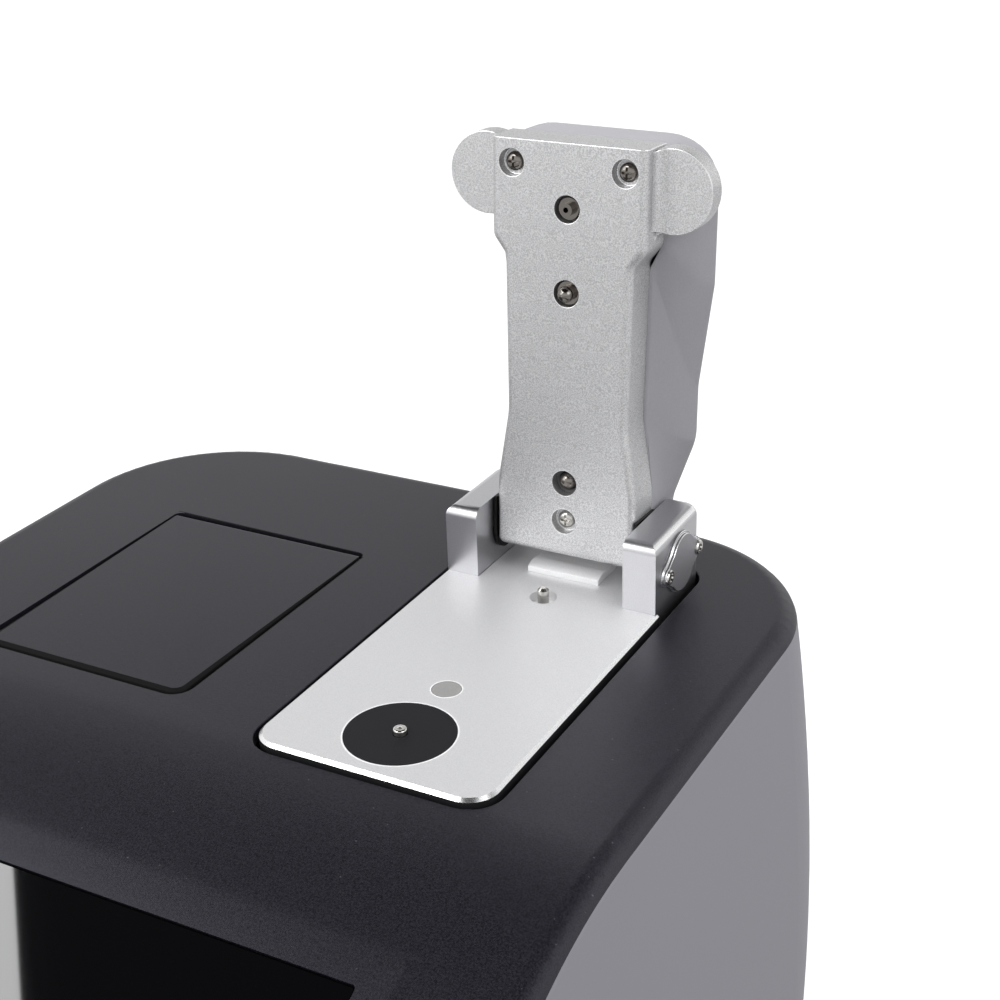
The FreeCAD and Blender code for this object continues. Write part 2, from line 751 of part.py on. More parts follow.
def base_plate():
    """Sheet floor with the four foot screws' holes and slotted vents."""
    body = new_body("BasePlate")
    inset = s.wall + s.base_gap
    grown = swell(s.foot_height) - inset
    half_x = s.body_width / 2 + grown
    half_y = s.body_depth / 2 + grown
    corner = s.body_corner + grown
    outline = sketch_on(body, "BaseOutline", lift=s.foot_height)
    rectangle(outline, -half_x, -half_y, half_x, half_y)
    pad(body, outline, s.base_thickness)
    corners = [(x, y) for x in (-half_x, half_x) for y in (-half_y, half_y)]
    fillet(body, "BaseCorners", corner, upright_at(*corners))
    vents = sketch_on(body, "BaseVents", lift=base_top)
    for i in range(6):
        y = -20 + 10 * i
        rectangle(vents, -30, y, 30, y + 4)
    pocket(body, vents, s.base_thickness + 1)
    return node(body, "base_plate")


def rubber_feet():
    feet = []
    for i, (right, back) in enumerate(((1, 1), (1, -1), (-1, 1), (-1, -1))):
        start = (right * s.foot_x, back * s.foot_y, 0)
        feet.append(cone("Foot%d" % i, "z", start, s.foot_height, s.foot_radius - 1,
                         s.foot_radius))
    return node(group("RubberFeet", *feet), "rubber_feet")


# Display


def display():
    """Glass a little below the recess floor and the display module behind it."""
    half = s.glass_width / 2
    behind = s.glass_sink + s.glass_thickness
    glass = slope_block("ScreenGlass", half, glass_y0, -s.bezel_border,
                        -behind, -s.glass_sink, s.glass_corner)
    node(glass, "screen_glass")
    margin = s.display_margin
    back = -s.wall - s.play
    module = slope_block("DisplayModule", half + margin, glass_y0 - margin,
                         margin - s.bezel_border, back - s.display_depth, back, s.glass_corner)
    step = sketch_on(module, "DisplayStep", lift=back)
    rectangle(step, -half + s.play, glass_y0 + s.play, half - s.play, -s.bezel_border - s.play)
    pad(module, step, s.wall + s.play - behind)
    return node(module, "display_module")


# Cuvette position


def cuvette_lid():
    """Flush lid whose round rear edge turns about two short pins."""
    body = new_body("CuvetteLid")
    half = s.lid_width / 2 - s.lid_gap
    y0 = lid_y0 + s.lid_gap
    y1 = lid_y1 - s.lid_gap
    outline = sketch_on(body, "LidOutline", lift=s.cover_height - s.lid_thickness)
    rectangle(outline, s.lid_x - half, y0, s.lid_x + half, y1)
    pad(body, outline, s.lid_thickness)
    front = [(s.lid_x - half, y0), (s.lid_x + half, y0)]
    back = [(s.lid_x - half, y1), (s.lid_x + half, y1)]
    fillet(body, "LidCorners", s.lid_corner - s.lid_gap, upright_at(*front))

    def rear_edge(edge):
        spot = edge.BoundBox
        return near(spot.YMin, y1) and near(spot.YMax, y1) and spot.XLength > 1

    fillet(body, "LidRearRound", s.lid_thickness / 2 - 0.01, rear_edge)
    bores = sketch_on(body, "LidBores", role="YZ_Plane", lift=s.lid_x + half)
    circle(bores, lid_pin_y, lid_pin_z, s.lid_pin_radius + s.running_fit)
    pocket(body, bores, s.lid_pin_length / 2 + s.play)
    bores = sketch_on(body, "LidBoresLeft", role="YZ_Plane", lift=s.lid_x - half)
    circle(bores, lid_pin_y, lid_pin_z, s.lid_pin_radius + s.running_fit)
    pocket(body, bores, s.lid_pin_length / 2 + s.play, upwards=True)
    return node(body, "cuvette_lid")


def lid_hinge_pins():
    pins = []
    for i, side in enumerate((-1, 1)):
        middle = s.lid_x + side * (s.lid_width / 2)
        pins.append(cylinder("LidPin%d" % i, "x", (middle - s.lid_pin_length / 2, lid_pin_y,
                                                   lid_pin_z), s.lid_pin_length,
                             s.lid_pin_radius))
    return node(group("LidHingePins", *pins), "lid_hinge_pins")


def cuvette_bay():
    """Tray under the lid: its rim is the ledge, its floor has the well's mouth."""
    half = s.lid_width / 2
    rim = 3 * s.wall
    outer = block_at("BayOuter", (s.lid_x - half - rim / 2, s.lid_x + half + rim / 2),
                     (lid_y0 - rim / 2, lid_y1 + rim / 2), (under_cover - s.bay_wall, under_cover),
                     s.lid_corner)
    ledge = s.lid_ledge
    tub = block_at("BayTub", (s.lid_x - half + ledge - s.bay_wall,
                              s.lid_x + half - ledge + s.bay_wall),
                   (lid_y0 + ledge - s.bay_wall, lid_y1 - ledge + s.bay_wall),
                   (under_cover - s.bay_depth, under_cover - s.bay_wall / 2), s.lid_corner)
    hollow = block_at("BayHollow", (s.lid_x - half + ledge, s.lid_x + half - ledge),
                      (lid_y0 + ledge, lid_y1 - ledge),
                      (under_cover - s.bay_depth + s.bay_wall, under_cover + s.wall),
                      s.lid_corner)
    mouth = s.holder_side / 2 + s.play
    hole = box("BayMouth", (s.lid_x - mouth, s.lid_x + mouth),
               (s.holder_y - mouth, s.holder_y + mouth),
               (under_cover - 2 * s.bay_depth, under_cover))
    return node(cut("CuvetteBay", fuse("BaySolid", outer, tub), hollow, hole), "cuvette_bay")


holder_top = under_cover - s.bay_depth + s.bay_wall + 1.5
well_bottom = holder_top - s.cuvette_depth


def cuvette_holder():
    """Block with a square well and the bore of the light beam through it."""
    body = new_body("CuvetteHolder")
    half = s.holder_side / 2
    outline = sketch_on(body, "HolderOutline", lift=well_bottom - s.wall)
    rectangle(outline, s.lid_x - half, s.holder_y - half, s.lid_x + half, s.holder_y + half)
    pad(body, outline, holder_top - well_bottom + s.wall)
    flange = sketch_on(body, "HolderFlange", lift=under_cover - s.bay_depth - 3 * s.wall)
    wide = half + s.wall
    rectangle(flange, s.lid_x - wide, s.holder_y - wide, s.lid_x + wide, s.holder_y + wide)
    pad(body, flange, 3 * s.wall)
    well = s.cuvette_side / 2
    mouth = sketch_on(body, "HolderWell", lift=holder_top)
    rectangle(mouth, s.lid_x - well, s.holder_y - well, s.lid_x + well, s.holder_y + well)
    pocket(body, mouth, s.cuvette_depth)
    beam = sketch_on(body, "HolderBeam", role="YZ_Plane", lift=s.lid_x)
    circle(beam, s.holder_y, well_bottom + s.beam_height, s.beam_radius)
    pocket(body, beam, 2 * s.holder_side, both=True)
    return node(body, "cuvette_holder")


def beam_parts():
    """Light source and detector facing each other across the well."""
    start_z = well_bottom + s.beam_height
    edge = s.holder_side / 2
    lamp = cylinder("BeamLampCan", "x", (s.lid_x + edge, s.holder_y, start_z), 8, 4)
    node(lamp, "cuvette_light_source")
    cell = box("BeamDetectorBox", (s.lid_x - edge - 6, s.lid_x - edge),
               (s.holder_y - 6, s.holder_y + 6), (start_z - 6, start_z + 6))
    node(cell, "cuvette_detector")


# Pedestal plate and what stands in it


def pedestal_plate():
    """Bright plate with rear notches for the brackets and a tongue between them."""
    body = new_body("PedestalPlate")
    half = s.plate_width / 2
    inner = s.bracket_inner - s.play / 2
    x = s.plate_x
    y0 = s.plate_front
    y1 = bracket_y0 - s.play / 10
    outline = sketch_on(body, "PlateOutline", lift=plate_bottom)
    polygon(outline, [(x - half, y0), (x + half, y0), (x + half, s.plate_front + s.plate_length),
                      (x + s.bracket_outer + s.play / 10, s.plate_front + s.plate_length),
                      (x + s.bracket_outer + s.play / 10, y1), (x + inner, y1),
                      (x + inner, bracket_y1), (x - inner, bracket_y1), (x - inner, y1),
                      (x - s.bracket_outer - s.play / 10, y1),
                      (x - s.bracket_outer - s.play / 10, s.plate_front + s.plate_length),
                      (x - half, s.plate_front + s.plate_length)])
    pad(body, outline, s.plate_thickness)
    fillet(body, "PlateCorners", s.plate_corner, upright_at((x - half, y0), (x + half, y0)))

    def outer_top(edge):
        spot = edge.BoundBox
        if not (near(spot.ZMin, plate_top) and near(spot.ZMax, plate_top)):
            return False
        side = spot.XMin < float(x - half) + 0.05 or spot.XMax > float(x + half) - 0.05
        front = spot.YMax < float(y0) + 0.05
        tip = spot.YMin > float(s.plate_front + s.plate_length) - 0.05
        return (side or front) and not tip

    chamfer(body, "PlateChamfer", s.plate_chamfer, outer_top)
    disc = sketch_on(body, "DiscSeat", lift=plate_top)
    circle(disc, x, pedestal_y, s.disc_radius + s.play / 10)
    pocket(body, disc, s.disc_thickness)
    holes = sketch_on(body, "PlateHoles", lift=plate_top)
    circle(holes, x, pedestal_y, s.pedestal_sleeve + s.play / 10)
    circle(holes, x, stud_y, s.bush_radius + s.play / 10)
    pocket(body, holes, s.plate_thickness + 1)
    seat = sketch_on(body, "MagnetSeat", lift=plate_top)
    circle(seat, x, magnet_y, s.magnet_radius + s.play / 3)
    pocket(body, seat, s.magnet_depth + s.magnet_sink)
    sink = sketch_on(body, "StudSink", lift=plate_top)
    circle(sink, x, stud_y, s.stud_hole)
    pocket(body, sink, s.plate_thickness / 4)
    return node(body, "pedestal_plate")


def pedestal_disc():
    ring = cylinder("DiscRing", "z", (s.plate_x, pedestal_y, plate_top - s.disc_thickness),
                    s.disc_thickness, s.disc_radius)
    hole = cylinder("DiscHole", "z", (s.plate_x, pedestal_y, plate_top - 2 * s.disc_thickness),
                    4 * s.disc_thickness, s.pedestal_radius + s.play / 3)
    return node(cut("PedestalDisc", ring, hole), "pedestal_disc")


fibre_top = plate_top + s.pedestal_height


def lower_pedestal():
    """Steel pedestal: a sleeve in the plate, a polished tip and the fibre's bore."""
    x = s.plate_x
    sleeve = cylinder("SleeveLow", "z", (x, pedestal_y, plate_bottom - 6),
                      s.plate_thickness + 6 - s.disc_thickness - s.play / 10,
                      s.pedestal_sleeve)
    tip = cylinder("TipLow", "z", (x, pedestal_y, plate_bottom), fibre_top - plate_bottom,
                   s.pedestal_radius)
    bore = cylinder("BoreLow", "z", (x, pedestal_y, plate_bottom - 10), 40, s.fibre_radius)
    return node(cut("LowerPedestal", fuse("LowerPedestalSolid", sleeve, tip), bore),
                "lower_pedestal")


def holding_magnet():
    item = cylinder("HoldingMagnet", "z",
                    (s.plate_x, magnet_y, plate_top - s.magnet_sink - s.magnet_depth),
                    s.magnet_depth, s.magnet_radius)
    return node(item, "holding_magnet")


def path_parts():
    """Stud that sets the path length, its guide bush and its actuator."""
    x = s.plate_x
    rod = cylinder("StudRod", "z", (x, stud_y, plate_bottom - 14),
                   s.plate_thickness + 14 + s.stud_height - 0.6, s.stud_radius)
    dome = cone("StudDome", "z", (x, stud_y, plate_top + s.stud_height - 0.6), 0.6,
                s.stud_radius, s.stud_radius / 2)
    node(fuse("PathStud", rod, dome), "path_stud")
    tube = cylinder("BushTube", "z", (x, stud_y, plate_bottom - 4),
                    s.plate_thickness * 3 / 4 + 4, s.bush_radius)
    bore = cylinder("BushBore", "z", (x, stud_y, plate_bottom - 8), 20,
                    s.stud_radius + s.running_fit)
    node(cut("StudBush", tube, bore), "stud_bush")
    motor = cylinder("MotorCan", "z", (x, stud_y, deck_bottom - 34), 22, 12)
    nose = cylinder("MotorNose", "z", (x, stud_y, deck_bottom - 12), 12 - s.play, 5)
    clear = cylinder("MotorBore", "z", (x, stud_y, deck_bottom - 16), 20, s.stud_radius + s.play)
    node(cut("PathActuator", fuse("MotorSolid", motor, nose), clear), "path_actuator")


# Hinge


def bracket(side, name, label):
    """One hinge bracket with rounded top edges and the bore for the barrel."""
    body = new_body(name)
    inner = s.plate_x + side * s.bracket_inner
    outer = s.plate_x + side * s.bracket_outer
    x0 = inner if side > 0 else outer
    x1 = outer if side > 0 else inner
    z1 = plate_top + s.bracket_height
    outline = sketch_on(body, name + "Outline", lift=plate_bottom)
    rectangle(outline, x0, bracket_y0, x1, bracket_y1)
    pad(body, outline, z1 - plate_bottom)
    fillet(body, name + "Corner", s.bracket_corner, upright_at((outer, bracket_y1)))

    def top_front_or_back(edge):
        spot = edge.BoundBox
        level = near(spot.ZMin, z1) and near(spot.ZMax, z1)
        return level and spot.XLength > 1 and near(spot.YMin, spot.YMax)

    fillet(body, name + "TopRound", s.bracket_round, top_front_or_back)
    bore = sketch_on(body, name + "Bore", role="YZ_Plane", lift=s.plate_x)
    circle(bore, hinge_y, hinge_z, s.barrel_radius + s.play / 10)
    pocket(body, bore, 2 * s.plate_width, both=True)
    return node(body, label)


def lozenge(name, low, depth, rim):
    """Two-hole flange plate across X: a round middle, two round ends and the web between."""
    middle = cylinder(name + "Disc", "x", (low, hinge_y, hinge_z), depth, s.flange_radius + rim)
    ends = []
    for i, way in enumerate((-1, 1)):
        ends.append(cylinder("%sEnd%d" % (name, i), "x",
                             (low, hinge_y + way * s.flange_reach, hinge_z), depth,
                             s.flange_end + rim))
    web = new_body(name + "Web")
    sketch = sketch_on(web, name + "WebOutline", role="YZ_Plane", lift=low)
    near_end = s.flange_reach
    near_top = s.flange_radius * s.flange_radius / s.flange_reach / 3
    low_edge = s.flange_end + rim
    high_edge = s.flange_radius + rim - s.play
    corners = [(-near_end, -low_edge), (-near_top, -high_edge), (near_top, -high_edge),
               (near_end, -low_edge), (near_end, low_edge), (near_top, high_edge),
               (-near_top, high_edge), (-near_end, low_edge)]
    polygon(sketch, [(hinge_y + y, hinge_z + z) for y, z in corners])
    pad(web, sketch, depth)
    return [middle, web] + ends


def hinge_unit(side, tag):
    """Friction hinge on one side: flange with barrel, screws and the shaft's room."""
    face = s.plate_x + side * s.bracket_outer
    inner = s.plate_x + side * s.bracket_inner
    depth = s.flange_thickness
    foot = s.flange_step
    low = face if side > 0 else face - depth
    foot_low = face if side > 0 else face - foot
    plates = lozenge("Flange" + tag, low, depth, 0 * s.wall)
    plates += lozenge("FlangeFoot" + tag, foot_low, foot, s.flange_rim)
    barrel_start = inner + side * s.play if side > 0 else face - depth / 2
    length = s.bracket_outer - s.bracket_inner - s.play + depth / 2
    tube = cylinder("HingeBarrel" + tag, "x", (barrel_start, hinge_y, hinge_z), length,
                    s.barrel_radius)
    shaft_room = s.shaft_radius + s.running_fit
    room_start = inner - s.play if side > 0 else inner - 6
    room = cylinder("ShaftRoom" + tag, "x", (room_start, hinge_y, hinge_z), 6 + s.play, shaft_room)
    node(cut("HingeFlange" + tag, fuse("FlangeSolid" + tag, tube, *plates), room),
         "hinge_flange_" + tag.lower())
    heads = []
    head_start = face + depth if side > 0 else face - depth - s.flange_screw_head
    for i, way in enumerate((-1, 1)):
        spot = (head_start, hinge_y + way * s.flange_reach, hinge_z)
        head = cylinder("FlangeScrew%s%d" % (tag, i), "x", spot, s.flange_screw_head,
                        s.flange_screw_radius)
        socket = cylinder("FlangeSocket%s%d" % (tag, i), "x",
                          (spot[0] + side * s.flange_screw_head / 2, spot[1], spot[2]),
                          s.flange_screw_head, s.flange_screw_radius / 2)
        heads.append(cut("FlangeScrewCut%s%d" % (tag, i), head, socket))
    node(group("FlangeScrews" + tag, *heads), "flange_screws_" + tag.lower())


# Stop block


def stop_block():
    """Block between the brackets, hollowed for the turning heel of the arm."""
    body = new_body("StopBlock")
    y0 = s.plate_front + s.stop_front
    y1 = s.plate_front + s.stop_back
    left = s.plate_x - s.stop_width / 2
    outline = sketch_on(body, "StopOutline", role="YZ_Plane", lift=left)
    polygon(outline, [(y0, plate_top), (y1, plate_top), (y1, plate_top + s.stop_height),
                      (y1 - s.stop_rest, plate_top + s.stop_height),
                      (y1 - s.stop_rest - s.stop_bevel, plate_top + s.stop_deck),
                      (y0 + s.stop_bevel, plate_top + s.stop_deck),
                      (y0, plate_top + s.stop_knee)])
    pad(body, outline, s.stop_width)
    relief = sketch_on(body, "StopRelief", role="YZ_Plane", lift=left)
    circle(relief, hinge_y, hinge_z, s.stop_relief)
    pocket(body, relief, s.stop_width, upwards=True)
    node(body, "stop_block")
    rubber = box("StopPad", (left + 1, left + s.stop_width - 1), (y1 - s.stop_rest + 1, y1 - 1),
                 (plate_top + s.stop_height, plate_top + s.stop_height + s.pad_thickness))
    node(rubber, "stop_pad")


# Arm, drawn with its hinge axis on X, Y along the arm and Z out of its face


def in_arm_frame(item):
    """Stand the piece up at the open position of the arm."""
    turn = Rotation(Vector(1, 0, 0), 90 - float(s.arm_tilt))
    item.Placement = Placement(Vector(float(s.plate_x), float(hinge_y), float(hinge_z)), turn)
    return item


arm_back = s.arm_face - s.arm_thickness
shell_back = s.arm_face - s.shell_depth
tip_y = s.hinge_offset - s.pedestal_offset
ball_y = s.hinge_offset - s.magnet_offset
anvil_y = s.hinge_offset - s.stud_offset
half_outline = [
    (s.arm_foot, -s.arm_heel),
    (s.arm_foot, s.foot_end),
    (s.arm_waist, s.waist_end),
    (s.arm_neck_top, s.neck_end),
    (s.arm_head, s.head_start),
    (s.arm_head, s.arm_tip),
]


def mirrored(points):
    return points + [(-x, y) for x, y in reversed(points)]


def ear_roots(body):
    """Hollow roundings in plan where the ears leave the sides of the head."""
    radius = s.ear_root
    reach = s.ear_radius + radius
    aside = s.ear_x - s.arm_head - radius
    drop = square_root(reach * reach - aside * aside)
    centre_x = s.arm_head + radius
    centre_y = s.ear_y - drop
    touch_x = centre_x + aside * radius / reach
    touch_y = centre_y + drop * radius / reach
    sketch = sketch_on(body, "EarRoots", lift=arm_back)
    for side in (-1, 1):
        on_head = (side * s.arm_head, centre_y)
        on_ear = (side * touch_x, touch_y)
        start, end = (on_ear, on_head) if side > 0 else (on_head, on_ear)
        arc = arc_between(sketch, (side * centre_x, centre_y), radius, start, end)
        pin_point(sketch, arc, 1, start)
        pin_point(sketch, arc, 2, end)
        rule = sketch.addConstraint(Sketcher.Constraint("Radius", arc, float(radius)))
        sketch.setExpression("Constraints[%d]" % rule, written(radius))
        inner = side * (s.arm_head - 1)
        corners = [on_head, (inner, centre_y), (inner, s.ear_y - s.ear_radius / 2), on_ear]
        for first, last in zip(corners, corners[1:]):
            flat = [Vector(float(x), float(y), 0) for x, y in (first, last)]
            line = sketch.addGeometry(Part.LineSegment(*flat), False)
            pin_point(sketch, line, 1, first)
            pin_point(sketch, line, 2, last)
    pad(body, sketch, s.arm_thickness - s.ear_depth)


def arm_plate():
    """Face plate of the arm: waisted outline, round ears, holes and hinge bore."""
    body = new_body("ArmPlate")
    outline = sketch_on(body, "ArmOutline", lift=arm_back)
    polygon(outline, mirrored(half_outline))
    pad(body, outline, s.arm_thickness)
    big = [(side * x, y) for side in (-1, 1) for x, y in half_outline[1:3]]
    fillet(body, "ArmWaist", 26, upright_at(*big))
    small = [(side * x, y) for side in (-1, 1) for x, y in half_outline[3:5]]
    fillet(body, "ArmNeck", 3, upright_at(*small))
    heel = [(side * s.arm_foot, -s.arm_heel) for side in (-1, 1)]
    fillet(body, "ArmHeelCorners", s.arm_end_round, upright_at(*heel))
    ears = sketch_on(body, "ArmEars", lift=arm_back)
    for side in (-1, 1):
        circle(ears, side * s.ear_x, s.ear_y, s.ear_radius)
    pad(body, ears, s.arm_thickness - s.ear_depth)

    def head_root(edge):
        spot = edge.BoundBox
        level = near(spot.ZMin, s.arm_face - s.ear_depth) and near(spot.ZMax, spot.ZMin)
        return level and near(abs(spot.XMin), s.arm_head) and spot.XLength < 0.05

    fillet(body, "EarHollow", s.ear_fillet, head_root)
    ear_roots(body)

    def heel_edge(edge):
        spot = edge.BoundBox
        level = near(spot.ZMin, s.arm_face) and near(spot.ZMax, s.arm_face)
        return level and near(spot.YMin, -s.arm_heel) and near(spot.YMax, -s.arm_heel)

    fillet(body, "ArmHeelRound", s.arm_end_round, heel_edge)
    holes = sketch_on(body, "ArmHoles", lift=s.arm_face)
    for side in (-1, 1):
        circle(holes, side * s.arm_screw_x, s.arm_screw_y, s.counterbore)
    for y in (tip_y, ball_y, anvil_y, s.heel_screw_y):
        circle(holes, 0, y, s.counterbore)
    pocket(body, holes, s.counterbore_depth)
    deep = sketch_on(body, "ArmScrewHoles", lift=s.arm_face)
    for side in (-1, 1):
        circle(deep, side * s.arm_screw_x, s.arm_screw_y, s.screw_shank + s.play / 3)
    circle(deep, 0, s.heel_screw_y, s.screw_shank + s.play / 3)
    circle(deep, 0, ball_y, s.ball_radius)
    circle(deep, 0, anvil_y, s.anvil_radius + s.play / 3)
    circle(deep, 0, tip_y, s.pedestal_sleeve + s.play / 10)
    pocket(body, deep, s.arm_thickness + 1)
    bore = sketch_on(body, "ArmShaftBore", role="YZ_Plane")
    circle(bore, 0, 0, s.shaft_radius)
    pocket(body, bore, 3 * s.arm_foot, both=True)
    in_arm_frame(body)
    return node(body, "arm_plate")


def arm_pieces():
    """Screws, upper pedestal, magnet ball and anvil, all seated in the face plate."""
    floor = s.arm_face - s.counterbore_depth
    screws = []
    spots = [(-s.arm_screw_x, s.arm_screw_y), (s.arm_screw_x, s.arm_screw_y)]
    for i, (x, y) in enumerate(spots):
        screws.append(arm_screw("ArmScrew%d" % i, x, y, floor))
    node(in_arm_frame(group("ArmScrews", *screws)), "arm_screws")
    node(in_arm_frame(arm_screw("HeelScrew", 0, s.heel_screw_y, floor)), "arm_heel_screw")
    proud = s.hinge_height - s.pedestal_height - s.sample_gap
    sleeve = cylinder("SleeveUp", "z", (0, tip_y, arm_back), s.arm_thickness - 1,
                      s.pedestal_sleeve)
    tip = cylinder("TipUp", "z", (0, tip_y, arm_back), proud - arm_back, s.pedestal_radius)
    bore = cylinder("BoreUp", "z", (0, tip_y, arm_back - 1), 20, s.fibre_radius)
    solid = cut("UpperPedestal", fuse("UpperPedestalSolid", sleeve, tip), bore)
    node(in_arm_frame(solid), "upper_pedestal")
    reach = s.hinge_height - s.ball_clearance - s.magnet_sink
    steel = ball("ContactBall", (0, ball_y, reach - s.ball_radius), s.ball_radius)
    stem = cylinder("ContactStem", "z", (0, ball_y, arm_back), reach - s.ball_radius - arm_back,
                    s.ball_radius - s.play / 3)
    seat = cylinder("ContactSeat", "z", (0, ball_y, floor), s.ball_seat_height, s.ball_seat)
    node(in_arm_frame(fuse("MagnetBall", steel, stem, seat)), "magnet_ball")
    reach = s.hinge_height - s.stud_height - s.anvil_clearance
    steel = ball("AnvilBall", (0, anvil_y, reach - s.anvil_radius), s.anvil_radius)
    stem = cylinder("AnvilStem", "z", (0, anvil_y, arm_back), reach - s.anvil_radius - arm_back,
                    s.anvil_radius)
    node(in_arm_frame(fuse("PathAnvil", steel, stem)), "path_anvil")


def arm_screw(name, x, y, floor):
    """Pan head screw with a cross recess, seated in its counterbore."""
    head = cylinder(name + "Head", "z", (x, y, floor), 1.6, s.screw_head)
    shank = cylinder(name + "Shank", "z", (x, y, arm_back), floor - arm_back, s.screw_shank)
    half = s.screw_head * 0.55
    slot_a = box(name + "SlotA", (x - half, x + half), (y - 0.3, y + 0.3), (floor + 0.8, floor + 3))
    slot_b = box(name + "SlotB", (x - 0.3, x + 0.3), (y - half, y + half), (floor + 0.8, floor + 3))
    return cut(name, fuse(name + "Solid", head, shank), slot_a, slot_b)


def cover_half(inset):
    """Half outline of the back cover at its full width."""
    heel = -s.arm_heel + inset
    tip = s.arm_tip - inset
    foot = s.shell_foot - inset
    waist = s.shell_waist - inset
    head = s.shell_head - inset
    return [(foot, heel), (foot, s.shell_foot_end), (waist, s.shell_waist_start),
            (waist, s.shell_waist_end), (head, s.shell_head_start), (head, tip)]


def flare_outline(share, inset):
    """Half outline between the face plate's sides and the full width."""
    points = []
    for (x0, y0), (x1, y1) in zip(half_outline, cover_half(0 * s.wall)):
        points.append((x0 + (x1 - x0) * share - inset, y0 + (y1 - y0) * share))
    points[0] = (points[0][0], -s.arm_heel - 1)
    points[-1] = (points[-1][0], s.arm_tip + 1)
    return points


def flaring_sides(name, inset, lead):
    """Smooth solid that widens from the face plate's outline to past the full width."""
    item = doc.addObject("Part::Loft", name)
    slope = 1.75
    ease = 0.75
    places = [-lead / s.shell_flare, 0.25, 0.5, 0.75, 1]
    sections = []
    for place in places:
        share = slope * place - ease * place * place
        sections.append((place * s.shell_flare, share))
    sections.append((s.shell_depth - s.arm_thickness + 1, 1.15))
    sketches = []
    for i, (depth, share) in enumerate(sections):
        sketch = doc.addObject("Sketcher::SketchObject", "%s%d" % (name, i))
        polygon(sketch, mirrored(flare_outline(share, inset)))
        bind(sketch, "Placement.Base.z", arm_back - depth)
        sketches.append(sketch)
    item.Sections = sketches
    item.Solid = True
    return item


def cover_block(name, inset, top):
    """Back cover at its full width, with round corners and a round back edge."""
    body = new_body(name)
    half = cover_half(inset)
    outline = sketch_on(body, name + "Outline", lift=shell_back + inset)
    polygon(outline, mirrored(half))
    pad(body, outline, top - shell_back - inset)
    bends = [(side * x, y) for side in (-1, 1) for x, y in half[1:5]]
    fillet(body, name + "Bends", s.shell_bend, upright_at(*bends))
    tips = [(side * x, y) for side in (-1, 1) for x, y in half[5:]]
    fillet(body, name + "Tips", s.shell_corner - inset, upright_at(*tips))
    heels = [(side * x, y) for side in (-1, 1) for x, y in half[:1]]
    fillet(body, name + "Heels", s.shell_round + 0.1 - inset, upright_at(*heels))
    fillet(body, name + "Back", s.shell_round - inset, all_at_height(shell_back + inset))
    return body


def arm_cover():
    """Hollow back cover of the arm: full-width block trimmed by the flaring sides."""
    outside = common("CoverForm", cover_block("CoverBlock", 0 * s.wall, arm_back),
                     flaring_sides("CoverSides", 0 * s.wall, 1))
    hollow = common("CoverHollow", cover_block("CoverRoom", s.shell_wall, arm_back + 1),
                    flaring_sides("CoverRoomSides", s.shell_wall, 2))
    return node(in_arm_frame(cut("ArmCover", outside, hollow)), "arm_cover")


def hinge_shaft_and_leaf(side, tag):
    """Shaft pressed into the arm and the black leaf beside it."""
    start = s.arm_foot - 8 if side > 0 else -s.arm_foot + 8 - (s.bracket_inner + 13 - s.arm_foot)
    length = s.bracket_inner + 13 - s.arm_foot
    bar = cylinder("ShaftBar" + tag, "x", (start, 0, 0), length, s.shaft_radius)
    shaft = group("HingeShaft" + tag, bar)
    node(in_arm_frame(shaft), "hinge_shaft_" + tag.lower())
    low = s.arm_foot if side > 0 else -s.arm_foot - s.leaf_thickness
    disc = cylinder("LeafDisc" + tag, "x", (low, 0, 0), s.leaf_thickness, s.leaf_radius)
    tab = box("LeafTab" + tag, (low, low + s.leaf_thickness), (0 * s.wall, s.leaf_length),
              (arm_back, s.leaf_radius))
    hole = cylinder("LeafHole" + tag, "x", (low - 1, 0, 0), s.leaf_thickness + 2,
                    s.shaft_radius + s.running_fit)
    leaf = cut("HingeLeaf" + tag, fuse("LeafSolid" + tag, disc, tab), hole)
    node(in_arm_frame(leaf), "hinge_leaf_" + tag.lower())


# Inner frame, electronics and optics


def optics_frame():
    """Bridge that carries the plate and the brackets over the base plate."""
    body = new_body("OpticsFrame")
    half = s.plate_width / 2 + s.frame_margin
    x0 = s.plate_x - half
    x1 = s.plate_x + half
    y0 = s.plate_front
    outline = sketch_on(body, "FrameOutline", role="XZ_Plane", lift=-bracket_y1 - s.frame_margin)
    polygon(outline, [(x0, base_top), (x0 + s.frame_wall, base_top),
                      (x0 + s.frame_wall, deck_bottom), (x1 - s.frame_wall, deck_bottom),
                      (x1 - s.frame_wall, base_top), (x1, base_top), (x1, deck_top),
                      (x0, deck_top)])
    pad(body, outline, bracket_y1 + s.frame_margin - y0)
    window = sketch_on(body, "FrameWindow", role="YZ_Plane", lift=s.plate_x)
    rectangle(window, y0 + 15, base_top + 25, bracket_y1 - 12, deck_bottom - 20)
    pocket(body, window, 2 * s.plate_width, both=True)
    holes = sketch_on(body, "DeckHoles", lift=deck_top)
    circle(holes, s.plate_x, pedestal_y, s.pedestal_sleeve + s.play)
    circle(holes, s.plate_x, stud_y, s.bush_radius + s.play)
    pocket(body, holes, s.frame_wall + 1)
    return node(body, "optics_frame")


def circuit_board(name, corner, width, length):
    """A board on four standoffs, from its front left corner."""
    x, y = corner
    board_z = base_top + s.standoff
    sheet_item = box(name + "Board", (x, x + width), (y, y + length),
                     (board_z, board_z + s.board_thickness))
    inset = s.board_inset
    posts = []
    for i, dx in enumerate((inset, width - inset)):
        for j, dy in enumerate((inset, length - inset)):
            posts.append(cylinder("%sPost%d" % (name, 2 * i + j), "z",
                                  (x + dx, y + dy, base_top), s.standoff, s.standoff_radius))
    return sheet_item, group(name + "Posts", *posts)


